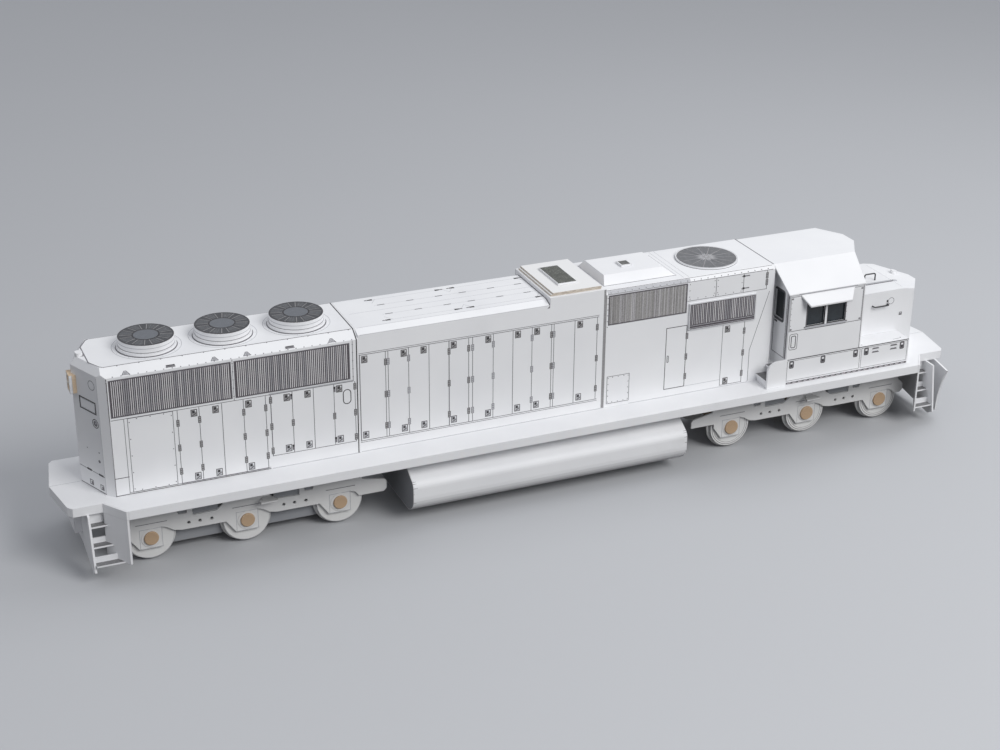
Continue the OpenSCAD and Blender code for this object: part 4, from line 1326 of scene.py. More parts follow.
@dataclass
class EngineHood(Hood):
    """The engine hood's printed doors and roof hatches."""

    node: ClassVar[str] = "engine_hood"
    top_line: float = 47.5
    bottom_line: float = 5.6
    side_h: float = 57.1
    roof_h: float = 58.8
    raised_h: float = 60.5
    raised_len: float = 28.4
    hung: tuple[float, ...] = (42.4, 26.7, 11.2)
    doors: tuple[Door, ...] = (
        Door(0.55, (), 2.8, width=0.4), Door(13.2, hung, 21.2, 1.2), Door(23.45, hung, 30.6, faint=True),
        Door(33.15), Door(42.75, hung, 45.0, width=0.42), Door(53.2, hung, 61.8, 1.9),
        Door(64.25, hung, faint=True), Door(73.95, (), 76.4), Door(83.45, hung, 85.9, faint=True),
        Door(93.8, hung, None, 1.2), Door(104.95, (), 107.6), Door(116.4, hung))
    handles: tuple[float, ...] = (16.1, 50.4, 56.1, 90.1)
    dashes: tuple[float, ...] = (19.8, 33.8, 47.7, 59.4, 73.5, 87.1)
    hatch_u: float = 54.4

    def build(self) -> None:
        """Builds every printed piece of the hood."""
        for side in Side:
            self.side_print(side)
        self.roof_print()

    def side_print(self, side: Side) -> None:
        """Prints one wall of doors, with painted shade at its front joint and a painted shadow at the
        foot of the raised part.

        Args:
            side: Which side.
        """
        art = Artwork(f"engine_hood_{side.word}_print")
        wall = self.wall(side)
        first, last = self.doors[0].u, self.doors[-1].u
        for v, lean in ((self.top_line, 1), (self.bottom_line, -1)):
            art.line(wall, (first, v), (last + 0.6, v), 0.28, GREY)
            v += lean * 0.75
            art.line(wall, (first - 0.3, v), (last + 0.8, v), 0.22, GREY)
        art.line(wall, (0.6, 0.25), (119.2, 0.25), 0.2, PALE)
        for door in self.doors:
            gap = door.double / 2
            lines = (door.u - gap, door.u + gap) if gap else (door.u,)
            for u in lines:
                art.line(wall, (u, self.bottom_line), (u, self.top_line), door.width, GREY)
            for number, u in enumerate(lines):
                for v in door.hinges:
                    art.hinge(wall, u, v, door.faint or number > 0)
            if door.latch_at:
                art.latch(wall, door.latch_at, 45.2)
                art.latch(wall, door.latch_at, 8.3, False)
        start, head = self.length - self.raised_len, self.side_h - 0.1
        art.line(wall, (1.0, head), (start - 0.6, head), 0.12, PALE)
        # Dark band at the wall's front end: the joint with the central hood, widened with painted shade
        # in the corner there.
        art.rect(wall, self.length - 1.1, 0.3, self.length - 0.05, self.raised_h - 0.1, Stock.SEAM)
        # Grey wedge on the wall at the foot of the raised part: painted shadow of its rear face.
        shade = [(start - 1.3, head - 1.5), (start - 0.1, head - 1.3), (start - 0.1, head)]
        art.slab(wall, shade, GREY)
        self._slope(art, side, start)
        art.piece(self.palette)

    def _slope(self, art: Artwork, side: Side, start: float) -> None:
        """Draws a grey line down the slope at the foot of the raised part: a painted shadow along the
        joint there.

        Args:
            art: The piece to add to.
            side: Which side.
            start: Where the raised part starts.
        """
        slope, width = self.slope(side, self.low.z / MM + self.roof_h)
        art.line(slope, (start - 0.25, 0.1), (start - 0.25, width - 0.1), 0.4, GREY)
        art.line(slope, (1.0, width - 0.1), (start - 0.8, width - 0.1), 0.16, PALE)

    def roof_print(self) -> None:
        """Prints the two roof hatches with their handles and dashes, and a painted shadow line at the
        foot of the raised part.
        """
        art = Artwork("engine_hood_roof_print")
        roof = top_sheet(self.low.x, self.low.z + self.roof_h * MM)
        start = self.length - self.raised_len
        for sign in (-1, 1):
            edge = sign * 12.4
            for number, u in enumerate(self.handles):
                self._handle(art, roof, u, edge, number % 2 == 1)
            for u in self.dashes:
                art.plate(roof, u, sign * 5.5, 1.75, 0.3, GREY, 0.05)
            for v in (sign * 5.5, edge):
                art.line(roof, (16.6, v), (start - 0.6, v), 0.12, PALE)
            for u, way in ((16.6, 1), (self.hatch_u, -1), (self.hatch_u, 1), (start - 0.6, -1)):
                art.line(roof, (u, edge - sign * 4.0), (u + way * 2.6, edge), 0.16, PALE)
        art.line(roof, (3, 0), (start - 0.6, 0), 0.14, PALE)
        # Grey line across the roof at the foot of the raised part: painted shadow along the joint.
        art.line(roof, (start - 0.25, -self.roof_w / 2), (start - 0.25, self.roof_w / 2), 0.4, GREY)
        art.piece(self.palette)

    @staticmethod
    def _handle(art: Artwork, roof: Sheet, u: float, v: float, ahead: bool) -> None:
        """Prints one hatch handle: a dark wedge that narrows to a pale foot.

        Args:
            art: The piece to add to.
            roof: The roof's sheet.
            u: Place along the sheet.
            v: Place up the sheet.
            ahead: Whether it narrows towards the front.
        """
        way = 1 if ahead else -1
        wide, narrow = u - way * 1.9, u + way * 0.5
        wedge = [(wide, v - 0.7), (narrow, v - 0.45), (narrow, v + 0.45), (wide, v + 0.7)]
        art.slab(roof, wedge, BLACK, 0.06)
        art.plate(roof, u + way * 1.25, v, 0.55, 0.4, GREY, 0.06)


@dataclass
class ExhaustBox(Section):
    """The grille panel let into the exhaust box."""

    node: ClassVar[str] = "exhaust_grille"
    rim: float = 0.7 * 0.55

    def build(self) -> None:
        """Builds the grille's dark mesh, sunk into its frame."""
        art = Artwork("exhaust_grille_print")
        length, width, _ = measure(self.low, self.high)
        top = Sheet(Vector((self.low.x, self.low.y, self.high.z)), X, Y, Z)
        art.slab(top, oblong(0, 0, length, width, -self.rim), Stock.MESH, PRINT_LIFT, 0.45)
        art.piece(self.palette)


@dataclass
class CentralHood(Hood):
    """The central hood's printed sides, its roof lines, its framed grilles and its hatch vent."""

    node: ClassVar[str] = "central_hood"
    side_h: float = 57.6
    roof_w: float = 36.6
    grille: Rect = (1.5, 42.5, 42.2, 56.9)
    access: Rect = (1.65, 1.9, 13.55, 16.1)
    rear_door: Rect = (32.15, 4.0, 43.3, 36.0)
    front_door: tuple[float, float] = (62.85, 74.75)
    panel_edges: tuple[float, ...] = (42.8, 57.85, 72.65, 85.45)
    panel_low: float = 48.1
    slat_count: int = 38
    vent_bars: int = 6
    vent_sink: float = 0.08

    def build(self) -> None:
        """Builds every printed piece of the hood."""
        for side in Side:
            self.side_print(side)
            self.framed_grille(side)
        self.roof_print()
        self.hatch_print()

    def side_print(self, side: Side) -> None:
        """Prints one wall: the open grille, the bolted panels and the two doors.

        Args:
            side: Which side.
        """
        art = Artwork(f"central_hood_{side.word}_print")
        wall = self.wall(side)
        chance = random.Random(23)
        art.slats(wall, *self.grille, 0.43, 0.19, chance, 0.3, (Stock.OLIVE, Stock.SLAT))
        art.surround(wall, self.grille, 0.3, GREY)
        art.rect(wall, 0.0, 0.3, 0.35, self.side_h, Stock.SEAM)
        art.bolts(wall, (0.9, 41.5), (0.9, 56), 6, 0.24)
        self._panels(art, wall)
        self._doors(art, wall)
        self._slope(art, side)
        art.piece(self.palette)

    def _panels(self, art: Artwork, wall: Sheet) -> None:
        """Prints the upper bolted panels and the low access panel.

        Args:
            art: The piece to add to.
            wall: The wall's sheet.
        """
        edges = self.panel_edges
        art.line(wall, (edges[0], self.panel_low), (edges[-1], self.panel_low), 0.24, GREY)
        for u in edges[1:]:
            art.line(wall, (u, self.panel_low), (u, self.side_h - 0.2), 0.3, GREY)
        for u0, u1 in zip(edges[:2], edges[1:3]):
            art.bolts(wall, (u0 + 1.2, self.panel_low + 0.9), (u1 - 1.2, self.panel_low + 0.9), 4)
            for u in (u0 + 0.9, u1 - 0.9):
                art.bolts(wall, (u, self.panel_low + 2), (u, self.side_h - 1.2), 3)
        for v in (self.side_h - 1.2, self.panel_low + 2.1):
            art.rect(wall, edges[2] - 0.5, v - 0.5, edges[2] + 0.6, v + 0.5, BLACK, 0.05)
            art.rect(wall, edges[2] + 0.4, v - 0.26, edges[2] + 3.2, v + 0.26, GREY, 0.05)
        for v in (self.side_h - 2.6, self.panel_low + 3.4):
            art.hinge(wall, edges[3], v)
        u0, v0, u1, v1 = self.access
        art.outline(wall, u0, v0, u1, v1, 0.26, GREY)
        for u in (u0 + 0.7, u1 - 0.7):
            art.bolts(wall, (u, v0 + 1), (u, v1 - 1), 5)
        for v in (v0 + 0.7, v1 - 0.7):
            art.bolts(wall, (u0 + 3, v), (u1 - 3, v), 3)

    def _doors(self, art: Artwork, wall: Sheet) -> None:
        """Prints the two doors, the slanted brace line and the base lines.

        Args:
            art: The piece to add to.
            wall: The wall's sheet.
        """
        art.outline(wall, *self.rear_door, 0.32)
        for v in (30.3, 19.6, 9.3):
            art.hinge(wall, 43.4, v)
        art.band(wall, rounded(33.1, 18.0, 34.1, 21.6, 0.45), rounded(33.4, 18.3, 33.8, 21.3, 0.19))
        left, right = self.front_door
        for u, width in ((left, 0.26), (right, 0.3)):
            art.line(wall, (u, 1.0), (u, 32.6), width, GREY)
        art.line(wall, (left, 1.0), (right, 1.0), 0.26, GREY)
        for v in (28.0, 16.5, 5.6):
            art.hinge(wall, right, v)
        art.latch(wall, 65.4, 30.3)
        art.latch(wall, 65.8, 3.0)
        art.path(wall, [(87.35, 46.5), (78.35, 17.1), (78.45, 0.8)], 0.26, GREY)
        art.line(wall, (32.65, 4.1), (62.5, 4.1), 0.2, PALE)
        art.line(wall, (13.6, 0.3), (78.4, 0.3), 0.2, PALE)

    def _slope(self, art: Artwork, side: Side) -> None:
        """Prints the bolted strip along the folded roof edge.

        Args:
            art: The piece to add to.
            side: Which side.
        """
        slope, width = self.slope(side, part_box("brake_fan")[0].z / MM)
        art.rect(slope, 0.8, 0.3, 44, width - 0.7, PALE)
        art.bolts(slope, (2.5, 0.8), (86, 0.8), 24, 0.3)
        art.line(slope, (0.8, 0.1), (88.5, 0.1), 0.3, GREY)
        art.line(slope, (0.8, width - 0.5), (88.5, width - 0.5), 0.2, GREY)
        art.bolts(slope, (2.5, width - 0.6), (42, width - 0.6), 10, 0.2)

    def framed_grille(self, side: Side) -> None:
        """Builds the slats and rails inside one framed grille.

        Args:
            side: Which side.
        """
        low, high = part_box("framed_grilles")
        art = Artwork(f"framed_grille_{side.word}_slats")
        face = side_sheet(low.x, high.y, low.z, side)
        length, _, height = measure(low, high)
        art.slab(face, oblong(0.45, 0.35, length - 0.45, height - 0.4), Stock.GRILLE, PRINT_LIFT, 0.6)
        chance = random.Random(31)
        for i in range(self.slat_count):
            u = 1.1 + (length - 2.2) * i / (self.slat_count - 1)
            half = chance.uniform(0.1, 0.17)
            stock = PALE if chance.random() < 0.4 else Stock.SLAT
            art.rect(face, u - half, 2.7, u + half, height - 0.7, stock, 0.07)
        for v in (0.9, 2.1):
            art.line(face, (0.7, v), (length - 0.7, v), 0.22, PALE, 0.09)
        art.outline(face, 0, 0, length, height, 0.14, PALE)
        art.piece(self.palette)

    def roof_print(self) -> None:
        """Prints the roof's seams around the brake fan and the neck."""
        art = Artwork("central_hood_roof_print")
        roof = top_sheet(self.low.x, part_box("brake_fan")[0].z)
        half = self.roof_w / 2
        art.line(roof, (0.3, -half), (0.3, half), 0.5, GREY)
        for u in (41.2, 43.8):
            art.line(roof, (u, -half + 0.4), (u, half - 0.4), 0.16, PALE)
        length = (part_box("cab_roof")[0].x - self.low.x) / MM
        art.line(roof, (length - 0.35, -half), (length - 0.35, half), 0.55, GREY)
        art.piece(self.palette)

    def hatch_print(self) -> None:
        """Prints the folds of the filter hatch and builds the vent's slats."""
        low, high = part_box("filter_hatch")
        art = Artwork("filter_hatch_print")
        base = top_sheet(low.x, low.z)
        half, length = high.y / MM, measure(low, high)[0]
        for sign in (-1, 1):
            art.line(base, (-0.2, sign * (half + 0.15)), (length, sign * (half + 0.15)), 0.22, GREY)
        for u in (-0.15, length + 0.15):
            art.line(base, (u, -half), (u, half), 0.22, PALE)
        low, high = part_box("hatch_vent")
        length, width, _ = measure(low, high)
        well = Sheet(Vector((low.x, low.y, high.z - self.vent_sink * MM)), X, Y, Z)
        art.slab(well, oblong(0, 0, length, width, -0.5), Stock.TREAD, PRINT_LIFT, 0.25)
        for i in range(self.vent_bars):
            v = 0.9 + (width - 1.8) * i / (self.vent_bars - 1)
            art.rect(well, 0.65, v - 0.2, length - 0.65, v + 0.2, Stock.MESH, 0.06)
        art.piece(self.palette)


@dataclass
class BrakeFan(Section):
    """The printed disc of the brake fan on the central hood's roof."""

    node: ClassVar[str] = "brake_fan"
    spokes: int = 14
    blades: int = 60
    star_points: int = 44
    sides: int = 84
    rim: float = 0.35
    sink: float = 0.12

    def build(self) -> None:
        """Builds the disc with its blades, spokes and pale star."""
        art = Artwork("brake_fan_print")
        middle = (self.low.x + self.high.x) / 2
        disc = top_sheet(middle, self.high.z - self.sink * MM)
        radius = (self.high.x - self.low.x) / 2 / MM - self.rim
        art.slab(disc, circle(0, 0, radius, self.sides), Stock.TREAD, 0.04, 0.4)
        for i in range(self.blades):
            turn = i / self.blades
            self._ray(art, disc, turn, (radius * 0.3, radius - 0.5), (0.2, 0.34), Stock.HUB, 0.07)
        for i in range(self.spokes):
            turn = (i + 0.15) / self.spokes
            self._ray(art, disc, turn, (0.8, radius - 0.3), (0.6, 0.2), Stock.SEAM, 0.1)
        star = []
        for i in range(self.star_points):
            reach = 2.6 + 3.2 * (i % 2) * (0.6 + 0.4 * ((i * 7) % 5) / 4)
            star.append(polar(reach, math.tau * i / self.star_points))
        art.slab(disc, star, PALE, 0.09)
        art.ring(top_sheet(middle, self.high.z), 0, 0, radius + 0.3, 0.14, PALE, self.sides)
        outer, inner = (circle(0, 0, r, self.sides) for r in (radius + self.rim + 0.06, radius))
        art.band(top_sheet(middle, self.low.z), outer, inner, GREY, 0.22, 0.0)
        art.piece(self.palette)

    @staticmethod
    def _ray(art: Artwork, sheet: Sheet, turn: float, reach: Point, widths: Point, stock: Stock,
             lift: float) -> None:
        """Prints one tapered ray.

        Args:
            art: The piece that it is added to.
            sheet: The face that it lies on.
            turn: Its direction, as a share of a whole turn.
            reach: The radii where it starts and ends.
            widths: Its width at each.
            stock: What it is printed with.
            lift: Height of its face over the sheet.
        """
        way = Vector(polar(1.0, math.tau * turn))
        across = Vector((-way.y, way.x))
        ends = [(way * radius, across * width / 2) for radius, width in zip(reach, widths)]
        (inner, inner_half), (outer, outer_half) = ends
        wedge = (inner - inner_half, outer - outer_half, outer + outer_half, inner + inner_half)
        art.slab(sheet, [tuple(point) for point in wedge], stock, lift)


# ---- Cab and nose -----------------------------------------------------------------------


@dataclass
class Cab(Section):
    """The cab's printed walls, its window frames, gutters and corner bands.

    The box of its right wall stands for both side walls.
    """

    node: ClassVar[str] = "cab_right_wall"
    window: Rect = (9.7, 29.5, 31.8, 41.6)
    post: float = 1.7
    panel_low: float = 28.0
    panel_high: float = 46.0
    rear_window: Rect = (16.1, 31.9, 24.0, 46.0)
    wipers: tuple[float, ...] = (4.6, 11.6)
    plaque: Rect = (0.9, 18.2, 5.6, 26.6)
    plaque_mark: Rect = (1.9, 19.2, 4.6, 25.6)
    deck_z: float = field(init=False)

    def __post_init__(self) -> None:
        """Reads the right wall's box, and the height of the cab's foot, from the frame."""
        super().__post_init__()
        self.deck_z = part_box("cab_floor")[0].z

    def build(self) -> None:
        """Builds every printed piece of the cab."""
        for side in Side:
            self.side_print(side)
        self.rear_print()
        self.front_print()
        self.roof_print()

    def side_print(self, side: Side) -> None:
        """Prints one side wall and frames its windows.

        Args:
            side: Which side.
        """
        art = Artwork(f"cab_{side.word}_print")
        wall = side_sheet(self.low.x, -self.low.y, self.deck_z, side)
        length = self.length
        u0, v0, u1, v1 = self.window
        for left, right in ((0.3, u0 + 0.3), (u1 - 0.2, length - 0.9)):
            art.outline(wall, left, self.panel_low, right, self.panel_high, 0.24, GREY)
            for u in (left + 0.9, right - 0.9):
                for v in (self.panel_low + 1.0, self.panel_high - 1.1):
                    art.plate(wall, u, v, 0.5, 0.4, GREY, 0.05)
            art.bolts(wall, (left + 0.6, 31), (left + 0.6, 43), 5, 0.2)
        art.rect(wall, u0 - 0.3, v0 - 1.5, u1 + 0.3, v0 - 0.25, PALE, 0.12)
        art.line(wall, (u0 - 0.3, v0 - 1.5), (u1 + 0.3, v0 - 1.5), 0.28, BLACK, 0.14)
        art.line(wall, (length - 0.6, 13.4), (length - 0.6, self.panel_high + 0.3), 0.3, GREY)
        art.line(wall, (0.2, self.panel_low), (length - 0.9, self.panel_low), 0.2, PALE)
        art.round_outline(wall, self.plaque, 1.0, 0.3, GREY)
        art.round_outline(wall, self.plaque_mark, 0.7, 0.35, BLACK, 0.08)
        middle = (u0 + u1) / 2
        for left, right in ((u0, middle - self.post / 2), (middle + self.post / 2, u1)):
            art.window(wall, (left, v0, right, v1), 0.25)
        art.piece(self.palette)

    def rear_print(self) -> None:
        """Prints the rear wall: its doors, window frames and dark corner bands."""
        art = Artwork("cab_rear_print")
        low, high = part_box("cab_rear_wall")
        half = high.y / MM
        u0, v0, u1, v1 = self.rear_window
        seal = rounded(u0 - 0.1, v0 - 1.2, u1 + 1.1, v1 + 1.2, 1.6)
        pane = rounded(u0 + 0.05, v0 + 0.05, u1 - 0.05, v1 - 0.05, 0.3)
        for side in Side:
            wall = end_sheet(low.x, self.deck_z, -1, side.value)
            art.band(wall, seal, pane, Stock.SLATE, 0.08)
            art.line(wall, (16.4, 13.6), (16.4, v0 - 1.4), 0.3)
            art.line(wall, (27.2, 13.6), (27.2, 48.4), 0.34)
            art.line(wall, (16.3, 13.5), (27.2, 13.5), 0.3, GREY)
            art.rect(wall, 17.2, 29.4, 19.4, 30.2, BLACK, 0.2)
            art.rect(wall, half - 1.1, 13.3, half - 0.05, 46.6, GREY)
        art.piece(self.palette)

    def front_print(self) -> None:
        """Frames the windscreens and the narrow side panes, with two printed wipers on each screen."""
        art = Artwork("cab_front_print")
        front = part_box("cab_front_wall")[1].x
        nose_h = (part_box("nose")[1].z - self.deck_z) / MM
        for side in Side:
            wall = end_sheet(front, self.deck_z, 1, side.value)
            for pane in ((2.2, nose_h + 3.5, 16, 50.5), (20.4, 29.0, 27, 44.5)):
                art.window(wall, pane, 0.35)
            for u, high in ((19.4, 47.0), (28.0, 46.0)):
                art.line(wall, (u, 14.0), (u, high), 0.26, GREY)
            for u in self.wipers:
                art.line(wall, (u, nose_h + 2.2), (u + 2.2, nose_h + 3.2), 0.3, BLACK, 0.2)
        art.piece(self.palette)

    def roof_print(self) -> None:
        """Adds the gutters above the side windows."""
        art = Artwork("cab_roof_print")
        low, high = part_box("cab_roof")
        for side in Side:
            eave = side_sheet(self.low.x, high.y, low.z, side)
            art.rect(eave, 4.5, 0.15, 37.5, 0.65, PALE, 0.05)
        art.piece(self.palette)


@dataclass
class Nose(Section):
    """The nose's printed marks, its cleat strip, boss and wire grab irons."""

    node: ClassVar[str] = "nose"
    wire_r: float = 0.35
    bend_r: float = 0.9
    slope_start: float = 31.8
    drop: float = 3.2

    def build(self) -> None:
        """Builds every piece on the nose."""
        art = Artwork("nose_print")
        for side in Side:
            wall = self.wall(side)
            art.ring(wall, 24.4, 29.8, 1.8, 0.24, GREY)
            art.rect(wall, 21.8, 29.3, 22.5, 30.6, BLACK, 0.1)
            art.outline(wall, 29.9, 21.3, 31.6, 22.9, 0.3)
            art.rect(wall, 30.3, 21.6, 31.2, 22.2, GREY)
        top = top_sheet(self.low.x, self.high.z)
        end = self.slope_start - 0.4
        art.rect(top, 8.2, -8.0, end, -7.0, PALE, 0.5)
        art.line(top, (8.2, -8.1), (end, -8.1), 0.3, GREY, 0.3)
        fall = Vector((self.length - self.slope_start, 0, -self.drop)).normalized()
        brow = Vector((self.low.x + self.slope_start * MM, 0, self.high.z))
        ramp = Sheet(brow, fall, Y, Vector((-fall.z, 0, fall.x)))
        art.rect(ramp, 0.1, -8.0, 2.6, -7.0, PALE, 0.5)
        art.slab(ramp, circle(8.8, 4.3, 1.7, 24), Stock.WHITE_CARD, 1.7)
        art.ring(ramp, 8.8, 4.3, 1.72, 0.2, PALE, 24, 0.12)
        art.line(ramp, (0.1, -16.2), (0.1, 16.2), 0.14, PALE)
        art.piece(self.palette)
        self._front_door()
        self._grab_irons()

    def _front_door(self) -> None:
        """Prints the door on the nose's flat tip."""
        art = Artwork("nose_door_print")
        face = end_sheet(self.high.x, self.low.z, 1)
        art.outline(face, -2.7, 2.0, 2.7, 30.6, 0.26, GREY)
        for v in (6.5, 16.5, 26.5):
            art.rect(face, -3.1, v - 1.1, -2.4, v + 1.1, GREY, 0.06)
        art.rect(face, 1.4, 16.5, 2.2, 19.0, BLACK, 0.12)
        art.piece(self.palette)

    def _grab_irons(self) -> None:
        """Bends the wire grab irons, one on the nose's top and one on each side."""
        root = Vector((self.low.x + 17.8 * MM, -3.5 * MM, self.high.z))
        top_iron = self._staple("grab_iron_top", root, Z, 6.3, 3.7)
        for side in Side:
            root = Vector((self.low.x + 13.5 * MM, side.value * self.high.y, self.low.z + 28.6 * MM))
            self._staple(f"grab_iron_{side.word}", root, Vector((0, side.value, 0)), 8.6, 2.0)
        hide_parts("grab_irons")

    def _staple(self, name: str, root: Vector, out: Vector, span: float, reach: float) -> Object:
        """Bends one wire staple with round corners.

        Args:
            name: The piece's name.
            root: Foot of its first leg.
            out: Direction in which it stands off.
            span: Distance between its legs.
            reach: Distance that it stands off.

        Returns:
            The new object.
        """
        bend, straight = self.bend_r, reach - self.bend_r
        line = [(0.0, -0.5), (0.0, straight)]
        line += [polar(bend, math.radians(turn), bend, straight) for turn in (157.5, 135, 112.5, 90)]
        line += [(span - u, v) for u, v in reversed(line)]
        return wire(self.palette, name, [root + (X * u + out * v) * MM for u, v in line], self.wire_r)


def wire(palette: Palette, name: str, points: list[Vector], radius: float,
         sides: int = 12) -> Object:
    """Makes a round wire on the main body.

    Args:
        palette: Where the material comes from.
        name: The piece's name.
        points: Its centre line, in metres.
        radius: Its radius in millimetres.
        sides: How many sides it has.

    Returns:
        The new object.
    """
    rings = []
    for i, point in enumerate(points):
        way = (points[min(i + 1, len(points) - 1)] - points[max(i - 1, 0)]).normalized()
        across = way.cross(Vector((0.31, 0.52, 0.79))).normalized()
        other = way.cross(across)
        turns = [math.tau * k / sides for k in range(sides)]
        rings.append([point + (across * math.cos(t) + other * math.sin(t)) * radius * MM for t in turns])
    return loft(palette, name, rings, Stock.WIRE, "body", True)


def turned(palette: Palette, name: str, centre: Vector, profile: list[Point], stock: Stock,
           body: str, sides: int = 48) -> Object:
    """Makes a piece turned about an axis along Y.

    Args:
        palette: Where the material comes from.
        name: The piece's name.
        centre: The middle of its axis, in metres.
        profile: Distance along the axis and radius in millimetres, from one end to the other.
        stock: What it is made of.
        body: The body that it rides on.
        sides: How many sides it has.

    Returns:
        The new object.
    """
    rings = [[centre + Vector((u, along, v)) * MM for v, u in circle(0, 0, radius, sides)]
             for along, radius in profile]
    return loft(palette, name, rings, stock, body)


@dataclass
class BatteryBoxes:
    """The printed doors along the boxes under the cab, and the marks on their tops."""

    palette: Palette
    division: float = 42.95
    latches: tuple[float, ...] = (3.35, 21.15, 39.95, 46.25, 67.25)
    slots: tuple[float, ...] = (49.75, 60.35)
    louvres: int = 22

    def build(self) -> None:
        """Builds the print of both boxes."""
        for side in Side:
            low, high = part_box(f"{side.word}_battery_box")
            face = max(abs(low.y), abs(high.y))
            length, _, height = measure(low, high)
            art = Artwork(f"{side.word}_battery_box_print")
            self._wall_print(art, side_sheet(low.x, face, low.z, side), length, height)
            top = top_sheet(low.x, high.z)
            edge = face / MM - 0.8
            v = side.value * (edge - 1.5)
            art.line(top, (length - 8, v), (length - 4.4, v), 0.26, GREY)
            art.dot(top, length - 3.4, side.value * (edge - 2.2), 0.4)
            art.dot(top, self.division + 1.6, side.value * (edge - 1.2), 0.4)
            art.piece(self.palette)

    def _wall_print(self, art: Artwork, wall: Sheet, length: float, height: float) -> None:
        """Prints one box's lids, catches, louvred foot and slots.

        Args:
            art: The piece to add to.
            wall: The wall's sheet.
            length: The box's length in millimetres.
            height: The box's height in millimetres.
        """
        art.line(wall, (0.8, height - 0.15), (length - 0.4, height - 0.15), 0.4)
        for left, right in ((0.9, self.division - 0.3), (self.division + 0.4, length - 0.7)):
            art.outline(wall, left, 1.7, right, height - 0.8, 0.22, GREY)
        art.line(wall, (0.2, 0.1), (0.2, height), 0.35, GREY)
        art.rect(wall, 1.0, 0.1, length - 0.5, 1.05, Stock.GRILLE)
        for i in range(self.louvres):
            u = 2.6 + (length - 5.4) * i / (self.louvres - 1)
            art.line(wall, (u - 0.9, 0.52), (u + 0.9, 0.66), 0.22, Stock.SLAT, 0.06)
        for u in self.latches:
            self._catch(art, wall, u, height - 2.9)
        for left in self.slots:
            for v in (height - 2.2, height - 4.1):
                slot = [(left, v), (left + 3.8, v), (left + 3.5, v + 0.6), (left + 0.3, v + 0.6)]
                art.slab(wall, slot, GREY, 0.1)
                art.line(wall, (left, v), (left + 3.8, v), 0.18, BLACK, 0.12)

    @staticmethod
    def _catch(art: Artwork, wall: Sheet, u: float, v: float) -> None:
        """Prints one padlock catch with a rounded plate.

        Args:
            art: The piece to add to.
            wall: The wall's sheet.
            u: Place along the sheet.
            v: Place up the sheet.
        """
        art.slab(wall, rounded(u - 1.15, v - 1.8, u + 1.15, v + 1.8, 0.6), GREY, 0.05)
        art.round_outline(wall, (u - 1.3, v - 1.95, u + 1.3, v + 1.95), 0.7, 0.3, BLACK, 0.07)
        art.rect(wall, u - 0.6, v + 0.3, u + 0.6, v + 1.2, Stock.WHITE_CARD, 0.08)
        art.rect(wall, u - 0.5, v - 1.1, u + 0.5, v + 0.1, BLACK, 0.08)


# ---- Deck, steps and tank -----------------------------------------------------------------


